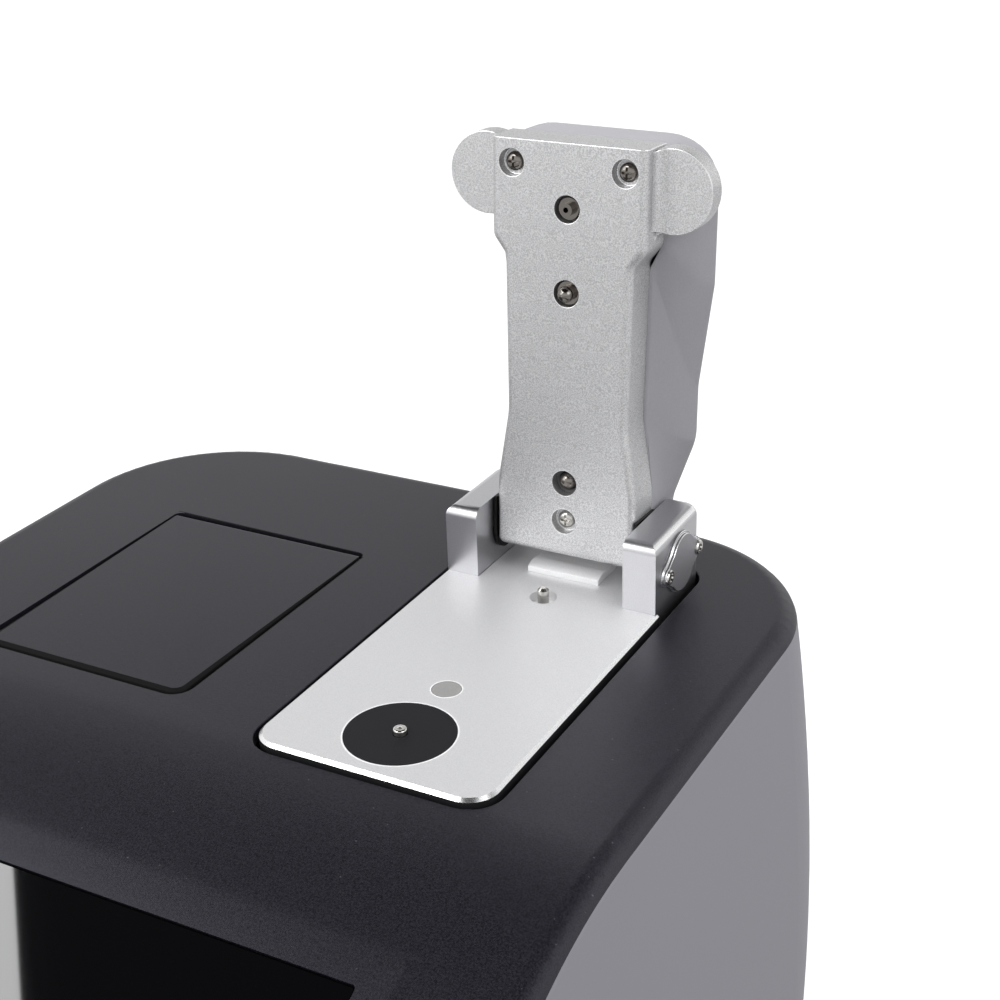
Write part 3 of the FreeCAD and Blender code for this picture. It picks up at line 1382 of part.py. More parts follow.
def electronics():
    """Boards on standoffs and the closed optical modules on the base plate."""
    left = s.module_side - s.body_width / 2
    right = s.body_width / 2 - s.module_side
    front = s.board_end - s.body_depth / 2
    back = s.body_depth / 2 - s.module_end
    board, posts = circuit_board("Main", (left, front), s.main_width, s.main_length)
    node(board, "main_board")
    node(posts, "board_standoffs")
    board, posts = circuit_board("Power", (right - s.power_width, front), s.power_width,
                                 s.power_length)
    node(board, "power_board")
    node(posts, "power_standoffs")
    module_top = base_top + s.spectrometer_height
    spectro = box("SpectrometerModule", (left, left + s.spectrometer_width),
                  (back - s.spectrometer_length, back), (base_top, module_top))
    node(spectro, "spectrometer_module")
    lamp_y = s.plate_front - s.lamp_front
    lamp = box("FlashLampModule", (s.plate_x - s.lamp_width / 2, s.plate_x + s.lamp_width / 2),
               (lamp_y - s.lamp_length, lamp_y), (base_top, base_top + s.lamp_height))
    node(lamp, "flash_lamp_module")
    foot = s.holder_side / 2
    post = box("HolderPost", (s.lid_x - foot, s.lid_x + foot),
               (s.holder_y - foot, s.holder_y + foot),
               (module_top, well_bottom - s.wall))
    node(post, "holder_post")


# Rear panel


def rear_panel():
    """Recessed connector panel and what is mounted in it."""
    half = s.body_width / 2 - s.opening_side + s.panel_lap
    z0 = base_top
    z1 = s.panel_top
    mid_z = (s.opening_bottom + s.opening_top) / 2
    sheet_metal = box("PanelSheet", (-half, half), (s.panel_y - s.panel_thickness, s.panel_y),
                      (z0, z1))
    jack = cylinder("JackHole", "y", (s.jack_x, s.panel_y - 10, mid_z), 20, s.jack_radius + 1)
    tools = [jack]
    switch = (s.rocker_x - s.rocker_width / 2, s.rocker_x + s.rocker_width / 2)
    tools.append(box("SwitchHole", switch, (s.panel_y - 10, s.panel_y + 10),
                     (mid_z - s.rocker_height / 2, mid_z + s.rocker_height / 2)))
    for i in range(2):
        x = s.usb_x + i * s.usb_pitch
        tools.append(box("HostHole%d" % i, (x - s.usb_width / 2, x + s.usb_width / 2),
                         (s.panel_y - 10, s.panel_y + 10),
                         (mid_z - s.usb_height / 2, mid_z + s.usb_height / 2)))
        host_socket(i, x, mid_z)
    x = s.device_x
    tools.append(box("DeviceHole", (x - s.device_side / 2, x + s.device_side / 2),
                     (s.panel_y - 10, s.panel_y + 10),
                     (mid_z - s.device_height / 2, mid_z + s.device_height / 2)))
    device_socket(x, mid_z)
    node(cut("RearPanel", sheet_metal, *tools), "rear_panel")
    inlet(mid_z)
    power_switch(mid_z)


def socket_shell(name, x, z, width, height):
    """Metal shell of a socket, open to the back, with its insulating tongue."""
    y1 = s.panel_y
    y0 = s.panel_y - s.usb_depth
    thin = s.usb_metal
    fit = s.play / 10
    outer = box(name + "Outer", (x - width / 2 + fit, x + width / 2 - fit), (y0, y1),
                (z - height / 2 + fit, z + height / 2 - fit))
    inner = box(name + "Inner", (x - width / 2 + thin, x + width / 2 - thin),
                (y0 + thin, y1 + 1), (z - height / 2 + thin, z + height / 2 - thin))
    return cut(name, outer, inner)


def host_socket(number, x, z):
    metal = socket_shell("HostShell%d" % number, x, z, s.usb_width, s.usb_height)
    top = z + s.usb_height / 2 - s.usb_metal
    tongue = box("HostTongue%d" % number, (x - 5.4, x + 5.4),
                 (s.panel_y - s.usb_depth + s.usb_metal / 2, s.panel_y - 3), (top - 1.6, top - 0.2))
    node(fuse("HostSocket%d" % number, metal, tongue), "usb_host_socket_%d" % (number + 1))


def device_socket(x, z):
    metal = socket_shell("DeviceShell", x, z, s.device_side, s.device_height)
    core = box("DeviceCore", (x - 2.8, x + 2.8),
               (s.panel_y - s.usb_depth + s.usb_metal / 2, s.panel_y - 3), (z - 1.5, z + 1.5))
    node(fuse("DeviceSocket", metal, core), "usb_device_socket")


def inlet(z):
    """Round low-voltage inlet with its centre pin."""
    y0 = s.panel_y - 12
    tube = cylinder("InletTube", "y", (s.jack_x, y0, z), 12 + 0.8, s.jack_radius + 0.9)
    room = cylinder("InletRoom", "y", (s.jack_x, y0 + 2, z), 12, s.jack_radius)
    pin = cylinder("InletPin", "y", (s.jack_x, y0 + 1, z), 10, s.jack_pin)
    node(fuse("PowerInlet", cut("InletShell", tube, room), pin), "power_inlet")


def power_switch(z):
    """Rocker switch: a frame in the panel and the rocker that tips in it."""
    fit = s.play / 10
    half_w = s.rocker_width / 2 - fit
    half_h = s.rocker_height / 2 - fit
    x = s.rocker_x
    y0 = s.panel_y - 12
    body = box("SwitchBody", (x - half_w, x + half_w), (y0, s.panel_y + 0.8),
               (z - half_h, z + half_h))
    room = box("SwitchRoom", (x - half_w + 1.2, x + half_w - 1.2), (y0 + 2, s.panel_y + 2),
               (z - half_h + 1.2, z + half_h - 1.2))
    axis_y = s.panel_y - 3
    pin_room = cylinder("SwitchPinRoom", "x", (x - half_w + 0.2, axis_y, z), 2 * half_w - 0.4,
                        s.rocker_pin + s.running_fit)
    node(cut("SwitchFrame", body, room, pin_room), "power_switch_frame")
    wide = half_w - 1.2 - s.play
    reach = half_h - 1.2 - 4 * s.play
    rocker = new_body("PowerRocker")
    sketch = sketch_on(rocker, "RockerOutline", role="YZ_Plane", lift=-wide)
    polygon(sketch, [(-3, -3), (0, -reach), (3.4, -reach), (2.4, 0), (3.4, reach), (0, reach),
                     (-3, 3)])
    pad(rocker, sketch, 2 * wide)
    pin = sketch_on(rocker, "RockerPin", role="YZ_Plane")
    circle(pin, 0, 0, s.rocker_pin)
    pad(rocker, pin, 2 * half_w - 0.8, both=True)
    tilt = Rotation(Vector(1, 0, 0), -float(s.rocker_angle))
    rocker.Placement = Placement(Vector(float(x), float(axis_y), float(z)), tilt)
    node(rocker, "power_rocker")


top_cover()
lower_housing()
base_plate()
rubber_feet()
display()
cuvette_lid()
lid_hinge_pins()
cuvette_bay()
cuvette_holder()
beam_parts()
pedestal_plate()
pedestal_disc()
lower_pedestal()
holding_magnet()
path_parts()
bracket(-1, "BracketLeft", "bracket_left")
bracket(1, "BracketRight", "bracket_right")
hinge_unit(-1, "Left")
hinge_unit(1, "Right")
stop_block()
arm_plate()
arm_pieces()
arm_cover()
hinge_shaft_and_leaf(-1, "Left")
hinge_shaft_and_leaf(1, "Right")
optics_frame()
electronics()
rear_panel()

doc.recompute()


def check_document():
    """Stop with the names of failed objects or bad shapes."""
    faults = [item.Name for item in doc.Objects if "Invalid" in item.State or "Error" in item.State]
    for item in NODES:
        if item.Shape.isNull() or not item.Shape.isValid() or not item.Shape.Solids:
            faults.append(item.Label + " has no valid solid")
    if faults:
        raise RuntimeError("; ".join(faults))


check_document()
os.makedirs("parts", exist_ok=True)
for item in NODES:
    item.Shape.exportStep("parts/%s.step" % item.Label)
print("%d sub-parts written" % len(NODES))
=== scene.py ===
import json
import math

import bpy
from mathutils import Matrix, Quaternion, Vector

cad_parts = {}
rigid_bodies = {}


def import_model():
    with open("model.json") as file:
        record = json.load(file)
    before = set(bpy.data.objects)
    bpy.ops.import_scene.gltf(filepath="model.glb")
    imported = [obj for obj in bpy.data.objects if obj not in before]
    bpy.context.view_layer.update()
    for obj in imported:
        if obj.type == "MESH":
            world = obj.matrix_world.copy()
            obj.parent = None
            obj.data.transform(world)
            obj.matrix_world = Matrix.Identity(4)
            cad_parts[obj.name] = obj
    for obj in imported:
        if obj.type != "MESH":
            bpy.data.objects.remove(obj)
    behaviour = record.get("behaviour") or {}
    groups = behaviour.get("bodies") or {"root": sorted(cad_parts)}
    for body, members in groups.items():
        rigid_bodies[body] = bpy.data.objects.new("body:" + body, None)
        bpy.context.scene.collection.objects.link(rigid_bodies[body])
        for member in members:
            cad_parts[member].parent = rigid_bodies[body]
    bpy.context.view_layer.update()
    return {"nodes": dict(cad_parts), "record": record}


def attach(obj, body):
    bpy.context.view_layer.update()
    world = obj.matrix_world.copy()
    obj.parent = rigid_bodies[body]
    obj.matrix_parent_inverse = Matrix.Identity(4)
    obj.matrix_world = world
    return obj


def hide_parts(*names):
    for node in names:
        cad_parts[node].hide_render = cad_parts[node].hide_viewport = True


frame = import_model()
nodes = frame["nodes"]

MM = 0.001

# Node trees written as arithmetic


class Wire:
    """A socket of a node tree. Arithmetic on it adds Math nodes."""

    def __init__(self, owner, socket):
        self.owner = owner
        self.socket = socket

    def maths(self, operation, *terms):
        values = dict(enumerate(terms))
        return self.owner.add("ShaderNodeMath", {"operation": operation}, values)

    def __add__(self, other):
        return self.maths("ADD", self, other)

    def __radd__(self, other):
        return self.maths("ADD", other, self)

    def __mul__(self, other):
        return self.maths("MULTIPLY", self, other)

    def above(self, edge, width):
        """Smooth step from 0 to 1 about an edge."""
        values = {"Value": self, "From Min": edge - width / 2, "From Max": edge + width / 2}
        return self.owner.add("ShaderNodeMapRange", {"interpolation_type": "SMOOTHSTEP"}, values)


class Nodes:
    """Adds nodes to a tree: the type, its settings, then its sockets."""

    def __init__(self, tree):
        self.tree = tree

    def add(self, kind, settings=None, values=None, out=0):
        node = self.tree.nodes.new(kind)
        for key, value in (settings or {}).items():
            if key == "stops":
                self.set_ramp(node, value)
            else:
                setattr(node, key, value)
        for key, value in (values or {}).items():
            if isinstance(value, Wire):
                self.tree.links.new(value.socket, node.inputs[key])
            else:
                node.inputs[key].default_value = value
        if isinstance(out, str) or node.outputs:
            return Wire(self, node.outputs[out])
        return node

    def mixed(self, share, low, high):
        """A colour wire between two colours or wires."""
        node = self.tree.nodes.new("ShaderNodeMix")
        node.data_type = "RGBA"
        self.tree.links.new(share.socket, node.inputs[0])
        for socket, value in ((node.inputs[6], low), (node.inputs[7], high)):
            if isinstance(value, Wire):
                self.tree.links.new(value.socket, socket)
            else:
                socket.default_value = tone(value)
        return Wire(self, node.outputs[2])

    def set_ramp(self, node, stops):
        ramp = node.color_ramp
        while len(ramp.elements) > 1:
            ramp.elements.remove(ramp.elements[-1])
        ramp.elements[0].position = stops[0][0]
        ramp.elements[0].color = tone(stops[0][1])
        for place, colour in stops[1:]:
            ramp.elements.new(place).color = tone(colour)


def tone(colour):
    """A grey level or a colour as four linear numbers."""
    if isinstance(colour, (int, float)):
        colour = (colour, colour, colour)
    return (*colour[:3], 1.0)


def srgb(red, green, blue):
    """Screen values from 0 to 255 as linear numbers."""
    def linear(value):
        value = value / 255
        return value / 12.92 if value <= 0.04045 else ((value + 0.055) / 1.055) ** 2.4
    return (linear(red), linear(green), linear(blue))


class Finish(Nodes):
    """A surface finish on one Principled shader."""

    def __init__(self, name, colour, roughness, metallic=0.0, coat=0.0, specular=0.5):
        self.material = bpy.data.materials.new(name)
        self.material.use_nodes = True
        super().__init__(self.material.node_tree)
        self.shader = self.tree.nodes["Principled BSDF"]
        self.shader.inputs["Base Color"].default_value = tone(colour)
        self.shader.inputs["Roughness"].default_value = roughness
        self.shader.inputs["Metallic"].default_value = metallic
        self.shader.inputs["Coat Weight"].default_value = coat
        self.shader.inputs["Specular IOR Level"].default_value = specular
        self.place = self.add("ShaderNodeTexCoord", out="Object")

    def feed(self, socket, wire):
        self.tree.links.new(wire.socket, self.shader.inputs[socket])
        return self

    def noise(self, scale, detail=2.0, roughness=0.5, stretch=None):
        """Grain of about 1 / scale metres, from 0 to 1."""
        place = self.place
        if stretch:
            place = self.add("ShaderNodeMapping", {}, {"Vector": place, "Scale": stretch})
        values = {"Vector": place, "Scale": scale, "Detail": detail, "Roughness": roughness}
        return self.add("ShaderNodeTexNoise", {}, values)

    def tint(self, share, low, high):
        """Base colour that runs between two colours with a wire from 0 to 1."""
        return self.feed("Base Color", self.mixed(share, low, high))

    def grain(self, height, strength, distance):
        values = {"Height": height, "Strength": strength, "Distance": distance}
        return self.feed("Normal", self.add("ShaderNodeBump", {}, values))


def shade(colour, factor):
    return tuple(min(1.0, part * factor) for part in colour[:3])


# Finishes of the instrument's pieces


def soft_touch_black():
    """Soft-touch paint on the cover: fine tooth, a little handling wear and lint."""
    base = srgb(26, 25, 31)
    finish = Finish("SoftTouchBlack", base, 0.4, specular=0.5)
    finish.shader.inputs["Specular Tint"].default_value = (0.86, 0.86, 1.0, 1.0)
    tooth = finish.noise(2700, detail=3, roughness=0.65)
    cloud = finish.noise(22, detail=4)
    lint = finish.noise(900, detail=1).above(0.8, 0.02)
    paint_tone = finish.mixed(tooth.above(0.5, 0.4), shade(base, 0.4), shade(base, 1.7))
    finish.feed("Base Color", finish.mixed(lint * 0.3, paint_tone, srgb(120, 120, 124)))
    finish.feed("Roughness", 0.29 + cloud * 0.03 + tooth * 0.16)
    return finish.grain(tooth, 0.35, 0.00006)


def satin_grey():
    """Moulded grey walls of the housing."""
    base = srgb(147, 146, 153)
    finish = Finish("SatinGrey", base, 0.42, specular=0.4)
    tooth = finish.noise(3000, detail=2)
    cloud = finish.noise(12, detail=3)
    finish.tint(cloud, shade(base, 0.965), shade(base, 1.03))
    finish.feed("Roughness", 0.38 + cloud * 0.05 + tooth * 0.05)
    return finish.grain(tooth, 0.05, 0.00004)


def bead_blasted(name, base, roughness, depth, contrast=0.1, metallic=0.9):
    """Bead-blasted aluminium: bright and dull specks under a fine pitted surface."""
    finish = Finish(name, base, roughness, metallic=metallic)
    pits = finish.noise(4400, detail=3, roughness=0.7)
    specks = finish.noise(3900, detail=2, roughness=0.6)
    cloud = finish.noise(35, detail=2)
    sparkle = specks.above(0.5, 0.24)
    finish.tint(sparkle * 0.85 + cloud * 0.15,
                shade(base, 1 - contrast), shade(base, 1 + contrast))
    finish.feed("Roughness", roughness - 0.05 + pits * 0.1)
    return finish.grain(pits, depth, 0.00008)


def cut_metal(name, base, roughness):
    """Bare machined edge with faint cutter lines."""
    finish = Finish(name, base, roughness, metallic=1.0)
    lines = finish.noise(900, detail=2, stretch=(1.0, 1.0, 6.0))
    finish.tint(lines, shade(base, 0.93), shade(base, 1.05))
    finish.feed("Roughness", roughness - 0.04 + lines * 0.1)
    return finish.grain(lines, 0.05, 0.00004)


def turned_steel(name, base, roughness):
    """Turned stainless steel with fine scatter."""
    finish = Finish(name, base, roughness, metallic=1.0)
    swirl = finish.noise(2200, detail=3)
    finish.tint(swirl, shade(base, 0.88), shade(base, 1.1))
    finish.feed("Roughness", roughness - 0.05 + swirl * 0.12)
    return finish.grain(swirl, 0.06, 0.00004)


def moulded(name, base, roughness, specular=0.4):
    """Fine moulded plastic or rubber."""
    finish = Finish(name, base, roughness, specular=specular)
    tooth = finish.noise(2600, detail=3)
    cloud = finish.noise(60, detail=3)
    finish.tint(tooth * 0.6 + cloud * 0.4, shade(base, 0.85), shade(base, 1.15))
    finish.feed("Roughness", roughness - 0.04 + tooth * 0.1)
    return finish.grain(tooth, 0.12, 0.00005)


def display_black():
    """Glossy front glass with a printed black back."""
    base = srgb(3, 3, 5)
    finish = Finish("DisplayGlass", base, 0.02, coat=1.0, specular=1.0)
    finish.shader.inputs["Coat Roughness"].default_value = 0.025
    dust = finish.noise(1400, detail=5, roughness=0.75).above(0.76, 0.06)
    film = finish.noise(14, detail=3)
    finish.tint(dust * 0.5, base, srgb(70, 70, 76))
    finish.feed("Roughness", 0.02 + film * 0.01 + dust * 0.3)
    return finish


def circuit_board():
    """Green solder mask with pads and traces."""
    base = srgb(22, 92, 54)
    finish = Finish("CircuitBoard", base, 0.35, specular=0.5)
    traces = finish.add("ShaderNodeTexVoronoi", {"feature": "DISTANCE_TO_EDGE"},
                        {"Vector": finish.place, "Scale": 260.0})
    finish.tint(traces.above(0.06, 0.03), srgb(40, 128, 76), base)
    return finish.grain(traces, 0.1, 0.0002)


BLACK = soft_touch_black()
GREY = satin_grey()
PLATE = bead_blasted("BlastedAluminium", srgb(240, 240, 241), 0.56, 0.12, 0.04, metallic=0.65)
ARM = bead_blasted("ArmAluminium", srgb(212, 212, 213), 0.42, 0.3, 0.24)
SATIN = bead_blasted("SatinAluminium", srgb(208, 208, 211), 0.33, 0.1, 0.04, metallic=1.0)
# A near-white, mostly matte copy of the aluminium: painted highlight, for the stop block, the
# stud bush and the rings at the plate's holes.
PALE_LIT = bead_blasted("PaleAluminium", srgb(250, 250, 250), 0.5, 0.1, 0.03, metallic=0.25)
CUT = cut_metal("CutEdge", srgb(246, 246, 247), 0.26)
STEEL = turned_steel("TurnedSteel", srgb(206, 204, 200), 0.24)
CHROME = turned_steel("BrightSteel", srgb(228, 226, 222), 0.14)
# Bright steel darkened in its base colour: painted dark reflection, for the upper pedestal, the
# magnet ball, the anvil and the arm's pan heads.
CHROME_DARKENED = turned_steel("SmokedSteel", srgb(134, 129, 124), 0.13)
FLANGE = turned_steel("GroundSteel", srgb(178, 177, 181), 0.5)
BLACK_STEEL = turned_steel("BlackenedSteel", srgb(44, 43, 43), 0.42)
NICKEL = turned_steel("NickelMagnet", srgb(214, 213, 212), 0.34)
SHELL = moulded("ArmShellGrey", srgb(172, 171, 175), 0.5, 0.3)
# Grey for the walls and floors of the arm's contact bores: painted shade.
BORE_SHADE = moulded("BoreWall", srgb(96, 95, 96), 0.45, 0.5)
# Near-black for the bevels along the lid's gap: painted shade.
SHADE_BAND = moulded("RubberSeal", srgb(13, 13, 14), 0.65, 0.2)
DISC = moulded("DiscBlack", srgb(25, 25, 29), 0.62, 0.3)
RUBBER = moulded("FootRubber", srgb(30, 30, 31), 0.7, 0.3)
# Black of the inner parts; on the pedestal plate's side walls along the gap it is painted shade.
INNER_AND_SHADE = moulded("InnerBlack", srgb(34, 34, 36), 0.5)
PANEL = moulded("PanelPaint", srgb(70, 70, 74), 0.45)
MODULE = turned_steel("ModuleMetal", srgb(170, 170, 172), 0.4)
GLASS = display_black()
BOARD = circuit_board()


# Modelling helpers


def alone(piece):
    """Select one object and nothing else."""
    if bpy.context.object and bpy.context.object.mode != "OBJECT":
        bpy.ops.object.mode_set(mode="OBJECT")
    bpy.ops.object.select_all(action="DESELECT")
    piece.select_set(True)
    bpy.context.view_layer.objects.active = piece
    return piece


def settle(piece):
    """Move the piece's place into its mesh."""
    alone(piece)
    bpy.ops.object.transform_apply(location=True, rotation=True, scale=True)
    return piece


def bevel(piece, width, segments=2, angle=30, edge_slot=-1):
    """Break the sharp edges with an applied bevel."""
    alone(piece)
    change = piece.modifiers.new("Edges", "BEVEL")
    change.width = width * MM
    change.segments = segments
    change.limit_method = "ANGLE"
    change.angle_limit = math.radians(angle)
    change.material = edge_slot
    change.use_clamp_overlap = False
    bpy.ops.object.modifier_apply(modifier=change.name)
    return piece


def pick_sharp(piece, keep, angle=30):
    """Go into edit mode with the sharp edges whose two ends, in millimetres, a rule keeps."""
    alone(piece)
    bpy.ops.object.mode_set(mode="EDIT")
    bpy.ops.mesh.select_mode(type="EDGE")
    bpy.ops.mesh.select_all(action="DESELECT")
    bpy.ops.mesh.edges_select_sharp(sharpness=math.radians(angle))
    bpy.ops.object.mode_set(mode="OBJECT")
    points = [point.co / MM for point in piece.data.vertices]
    for point in piece.data.vertices:
        point.select = False
    for edge in piece.data.edges:
        if edge.select and not keep(*(points[i] for i in edge.vertices)):
            edge.select = False
    bpy.ops.object.mode_set(mode="EDIT")


def ease(piece, keep, width, segments=3, slot=-1, angle=30):
    """Round or chamfer chosen edges of a piece."""
    pick_sharp(piece, keep, angle)
    bpy.ops.mesh.bevel(offset=width * MM, segments=segments, affect="EDGES", material=slot,
                       clamp_overlap=False)
    bpy.ops.object.mode_set(mode="OBJECT")
    return piece


def smooth(piece, angle=35, weighted=True):
    """Smooth shading that keeps the large flat faces flat."""
    alone(piece)
    bpy.ops.object.shade_smooth_by_angle(angle=math.radians(angle))
    if weighted:
        change = piece.modifiers.new("Normals", "WEIGHTED_NORMAL")
        change.keep_sharp = True
        bpy.ops.object.modifier_apply(modifier=change.name)
    return piece


def paint(piece, *finishes):
    """Give the piece its finishes, one per material slot."""
    piece.data.materials.clear()
    for finish in finishes:
        piece.data.materials.append(finish.material)
    return piece


def fasten(piece, body, slot, *stands_for):
    """Tie a finished piece to its body and hide the nodes that it stands for; the slot argument
    is not used.
    """
    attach(piece, body)
    if stands_for:
        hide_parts(*stands_for)
    return piece


def cad_copy(node, name, flatness=0.3):
    """A merged copy of a solid, ready for edge work."""
    piece = bpy.data.objects.new(name, nodes[node].data.copy())
    bpy.context.scene.collection.objects.link(piece)
    alone(piece)
    bpy.ops.mesh.customdata_custom_splitnormals_clear()
    bpy.ops.object.mode_set(mode="EDIT")
    bpy.ops.mesh.select_all(action="SELECT")
    bpy.ops.mesh.remove_doubles(threshold=0.002 * MM)
    bpy.ops.mesh.dissolve_limited(angle_limit=math.radians(flatness))
    bpy.ops.object.mode_set(mode="OBJECT")
    return piece


def body_of(node):
    return nodes[node].parent.name[len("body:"):]


def slot_of(node):
    for row in frame["record"]["subparts"]:
        if row["node"] == node:
            return row["material_slot"]
    return None


def started(node, *finishes, flatness=0.3):
    """A copy of a solid in its finishes, all of it in the first one."""
    piece = paint(cad_copy(node, node + "_finished", flatness), *finishes)
    for face in piece.data.polygons:
        face.material_index = 0
    return piece


def finished(piece, node, angle=40, weighted=True):
    """Shade a copy and let it stand for its node."""
    return fasten(smooth(piece, angle, weighted), body_of(node), slot_of(node), node)


def dressed(node, finish, edge=0.2, edge_finish=None, segments=2, angle=30):
    """A solid with its edges broken, in its finish, standing for its node."""
    piece = started(node, finish, edge_finish or finish)
    bevel(piece, edge, segments, angle, edge_slot=1 if edge_finish else -1)
    return finished(piece, node)


def recolour(piece, slot, rule):
    """Give the faces whose middle, in millimetres, and normal pass a rule another finish."""
    for face in piece.data.polygons:
        if rule(face.center / MM, face.normal):
            face.material_index = slot


def box_of(node):
    """Low and high corner of a solid in millimetres."""
    points = [point.co / MM for point in nodes[node].data.vertices]
    low = Vector(min(point[axis] for point in points) for axis in range(3))
    high = Vector(max(point[axis] for point in points) for axis in range(3))
    return low, high


def turned(name, place, aim, steps, finish):
    """A turned piece along an axis, drawn out through (height, radius) steps in millimetres."""
    bpy.ops.object.select_all(action="DESELECT")
    height, radius = steps[0]
    bpy.ops.mesh.primitive_circle_add(vertices=40, radius=radius * MM, fill_type="NGON",
                                      location=(0, 0, height * MM))
    piece = settle(bpy.context.object)
    piece.name = name
    bpy.ops.object.mode_set(mode="EDIT")
    bpy.ops.mesh.select_mode(type="FACE")
    bpy.ops.mesh.select_all(action="SELECT")
    for next_height, next_radius in steps[1:]:
        rise = {"value": (0, 0, (next_height - height) * MM)}
        bpy.ops.mesh.extrude_region_move(TRANSFORM_OT_translate=rise)
        grow = next_radius / radius
        bpy.ops.transform.resize(value=(grow, grow, 1), center_override=(0, 0, next_height * MM))
        height, radius = next_height, next_radius
    bpy.ops.mesh.select_all(action="SELECT")
    bpy.ops.mesh.normals_make_consistent(inside=False)
    bpy.ops.object.mode_set(mode="OBJECT")
    piece.location = Vector(place) * MM
    piece.rotation_mode = "QUATERNION"
    piece.rotation_quaternion = Vector(aim).to_track_quat("Z", "Y")
    return paint(settle(piece), finish)


def stood(piece, place, aim):
    """An own copy of a piece modelled at the origin, set in place along an axis."""
    twin = bpy.data.objects.new(piece.name, piece.data.copy())
    bpy.context.scene.collection.objects.link(twin)
    twin.location = Vector(place) * MM
    twin.rotation_mode = "QUATERNION"
    twin.rotation_quaternion = Vector(aim).to_track_quat("Z", "Y")
    return settle(twin)


def block(name, low, high):
    """A box between two corners in millimetres."""
    bpy.ops.object.select_all(action="DESELECT")
    low, high = Vector(low) * MM, Vector(high) * MM
    bpy.ops.mesh.primitive_cube_add(size=1, location=(low + high) / 2, scale=high - low)
    piece = settle(bpy.context.object)
    piece.name = name
    return piece


def carve(piece, cutter):
    """Cut one piece out of another and drop the cutter."""
    alone(piece)
    change = piece.modifiers.new("Cut", "BOOLEAN")
    change.operation = "DIFFERENCE"
    change.solver = "EXACT"
    change.object = cutter
    bpy.ops.object.modifier_apply(modifier=change.name)
    bpy.data.objects.remove(cutter)
    return piece


def hollow_corner(name, corner, way, radius, lap, low, high):
    """What lies between a square corner and a round one, lapping outwards a little."""
    x0, x1 = sorted((corner.x - way * lap, corner.x + way * radius))
    piece = block(name, (x0, corner.y - radius, low), (x1, corner.y + lap, high))
    bpy.ops.object.select_all(action="DESELECT")
    middle = Vector((corner.x + way * radius, corner.y - radius, (low + high) / 2)) * MM
    bpy.ops.mesh.primitive_cylinder_add(vertices=64, radius=radius * MM, location=middle,
                                        depth=(high - low + 2) * MM)
    return carve(piece, bpy.context.object)


def painted_highlight_ring(name, middle, radius, finish):
    """A thin pale ring round a hole in the plate: a painted highlight on the hole's edge."""
    bpy.ops.object.select_all(action="DESELECT")
    bpy.ops.mesh.primitive_torus_add(location=middle * MM, major_radius=radius * MM,
                                     minor_radius=0.16 * MM, major_segments=96, minor_segments=12)
    ring = bpy.context.object
    ring.scale.z = 0.3
    ring.name = name
    return smooth(paint(settle(ring), finish), 60)


def joined(name, *pieces):
    """Several pieces as one, under a new name."""
    alone(pieces[0])
    for piece in pieces[1:]:
        piece.select_set(True)
    bpy.ops.object.join()
    pieces[0].name = name
    return pieces[0]


def clad(node, finish):
    """Give a solid that already has its shape its finish."""
    piece = nodes[node]
    piece.data.materials.clear()
    piece.data.materials.append(finish.material)
    return piece


# Pieces whose machined edges catch the light

for name in ("bracket_left", "bracket_right"):
    bracket = started(name, SATIN, CUT)
    recolour(bracket, 1, lambda place, normal: 0.5 < abs(normal.x) < 0.85)
    finished(bracket, name, 30)
for name in ("hinge_flange_left", "hinge_flange_right"):
    dressed(name, FLANGE, 0.12, CUT, segments=1)
# The stop block's pale finish is painted highlight for its bright front.
dressed("stop_block", PALE_LIT, 0.15)
dressed("holding_magnet", NICKEL, 0.12, STEEL)

# Screws of the hinge flanges: low heads, a blackened disc in the socket as painted shade

for side, tag in ((-1, "left"), (1, "right")):
    flange_low, flange_high = box_of("hinge_flange_" + tag)
    screws_low, screws_high = box_of("flange_screws_" + tag)
    outer = flange_high.x if side > 0 else flange_low.x
    radius = (screws_high.z - screws_low.z) / 2
    level = (screws_high.z + screws_low.z) / 2
    heads = []
    for along in (screws_low.y + radius, screws_high.y - radius):
        spot = (outer, along, level)
        ring = turned("FlangeScrewHead", spot, (side, 0, 0),
                      [(0, radius + 0.15), (0.3, radius + 0.15), (0.55, radius - 0.05),
                       (0.55, 0.7 * radius), (0.05, 0.62 * radius)], CHROME)
        # A blackened disc on the socket's floor: painted shade in the socket.
        floor = turned("FlangeScrewSocket", spot, (side, 0, 0),
                       [(0.04, 0.66 * radius), (0.12, 0.66 * radius)], BLACK_STEEL)
        heads += [ring, floor]
    screws = smooth(joined("flange_screws_%s_finished" % tag, *heads), 30)
    fasten(screws, "base", slot_of("flange_screws_" + tag), "flange_screws_" + tag)

# Pedestal plate: a pale ring round the disc and the magnet, painted highlight on the holes' edges

disc_low, disc_high = box_of("pedestal_disc")
disc_middle = (disc_low + disc_high) / 2
disc_radius = (disc_high.x - disc_low.x) / 2
magnet_low, magnet_high = box_of("holding_magnet")
magnet_middle = (magnet_low + magnet_high) / 2
magnet_radius = (magnet_high.x - magnet_low.x) / 2
plate_low, plate_high = box_of("pedestal_plate")
stud_low, stud_high = box_of("path_stud")
stud_middle = (stud_low + stud_high) / 2
RING_OFFSET = 0.22

plate = started("pedestal_plate", PLATE, CUT, INNER_AND_SHADE)
recolour(plate, 1, lambda place, normal: 0.4 < normal.z < 0.9
         and (place - stud_middle).xy.length > 8)
# The plate's side walls along the gap take the black: painted shade for the dark gap they face.
recolour(plate, 2, lambda place, normal: abs(normal.z) < 0.2 and place.z < plate_high.z - 0.75
         and place.y < plate_low.y + 80
         and min(place.x - plate_low.x, plate_high.x - place.x, place.y - plate_low.y) < 3)
finished(plate, "pedestal_plate", 30)

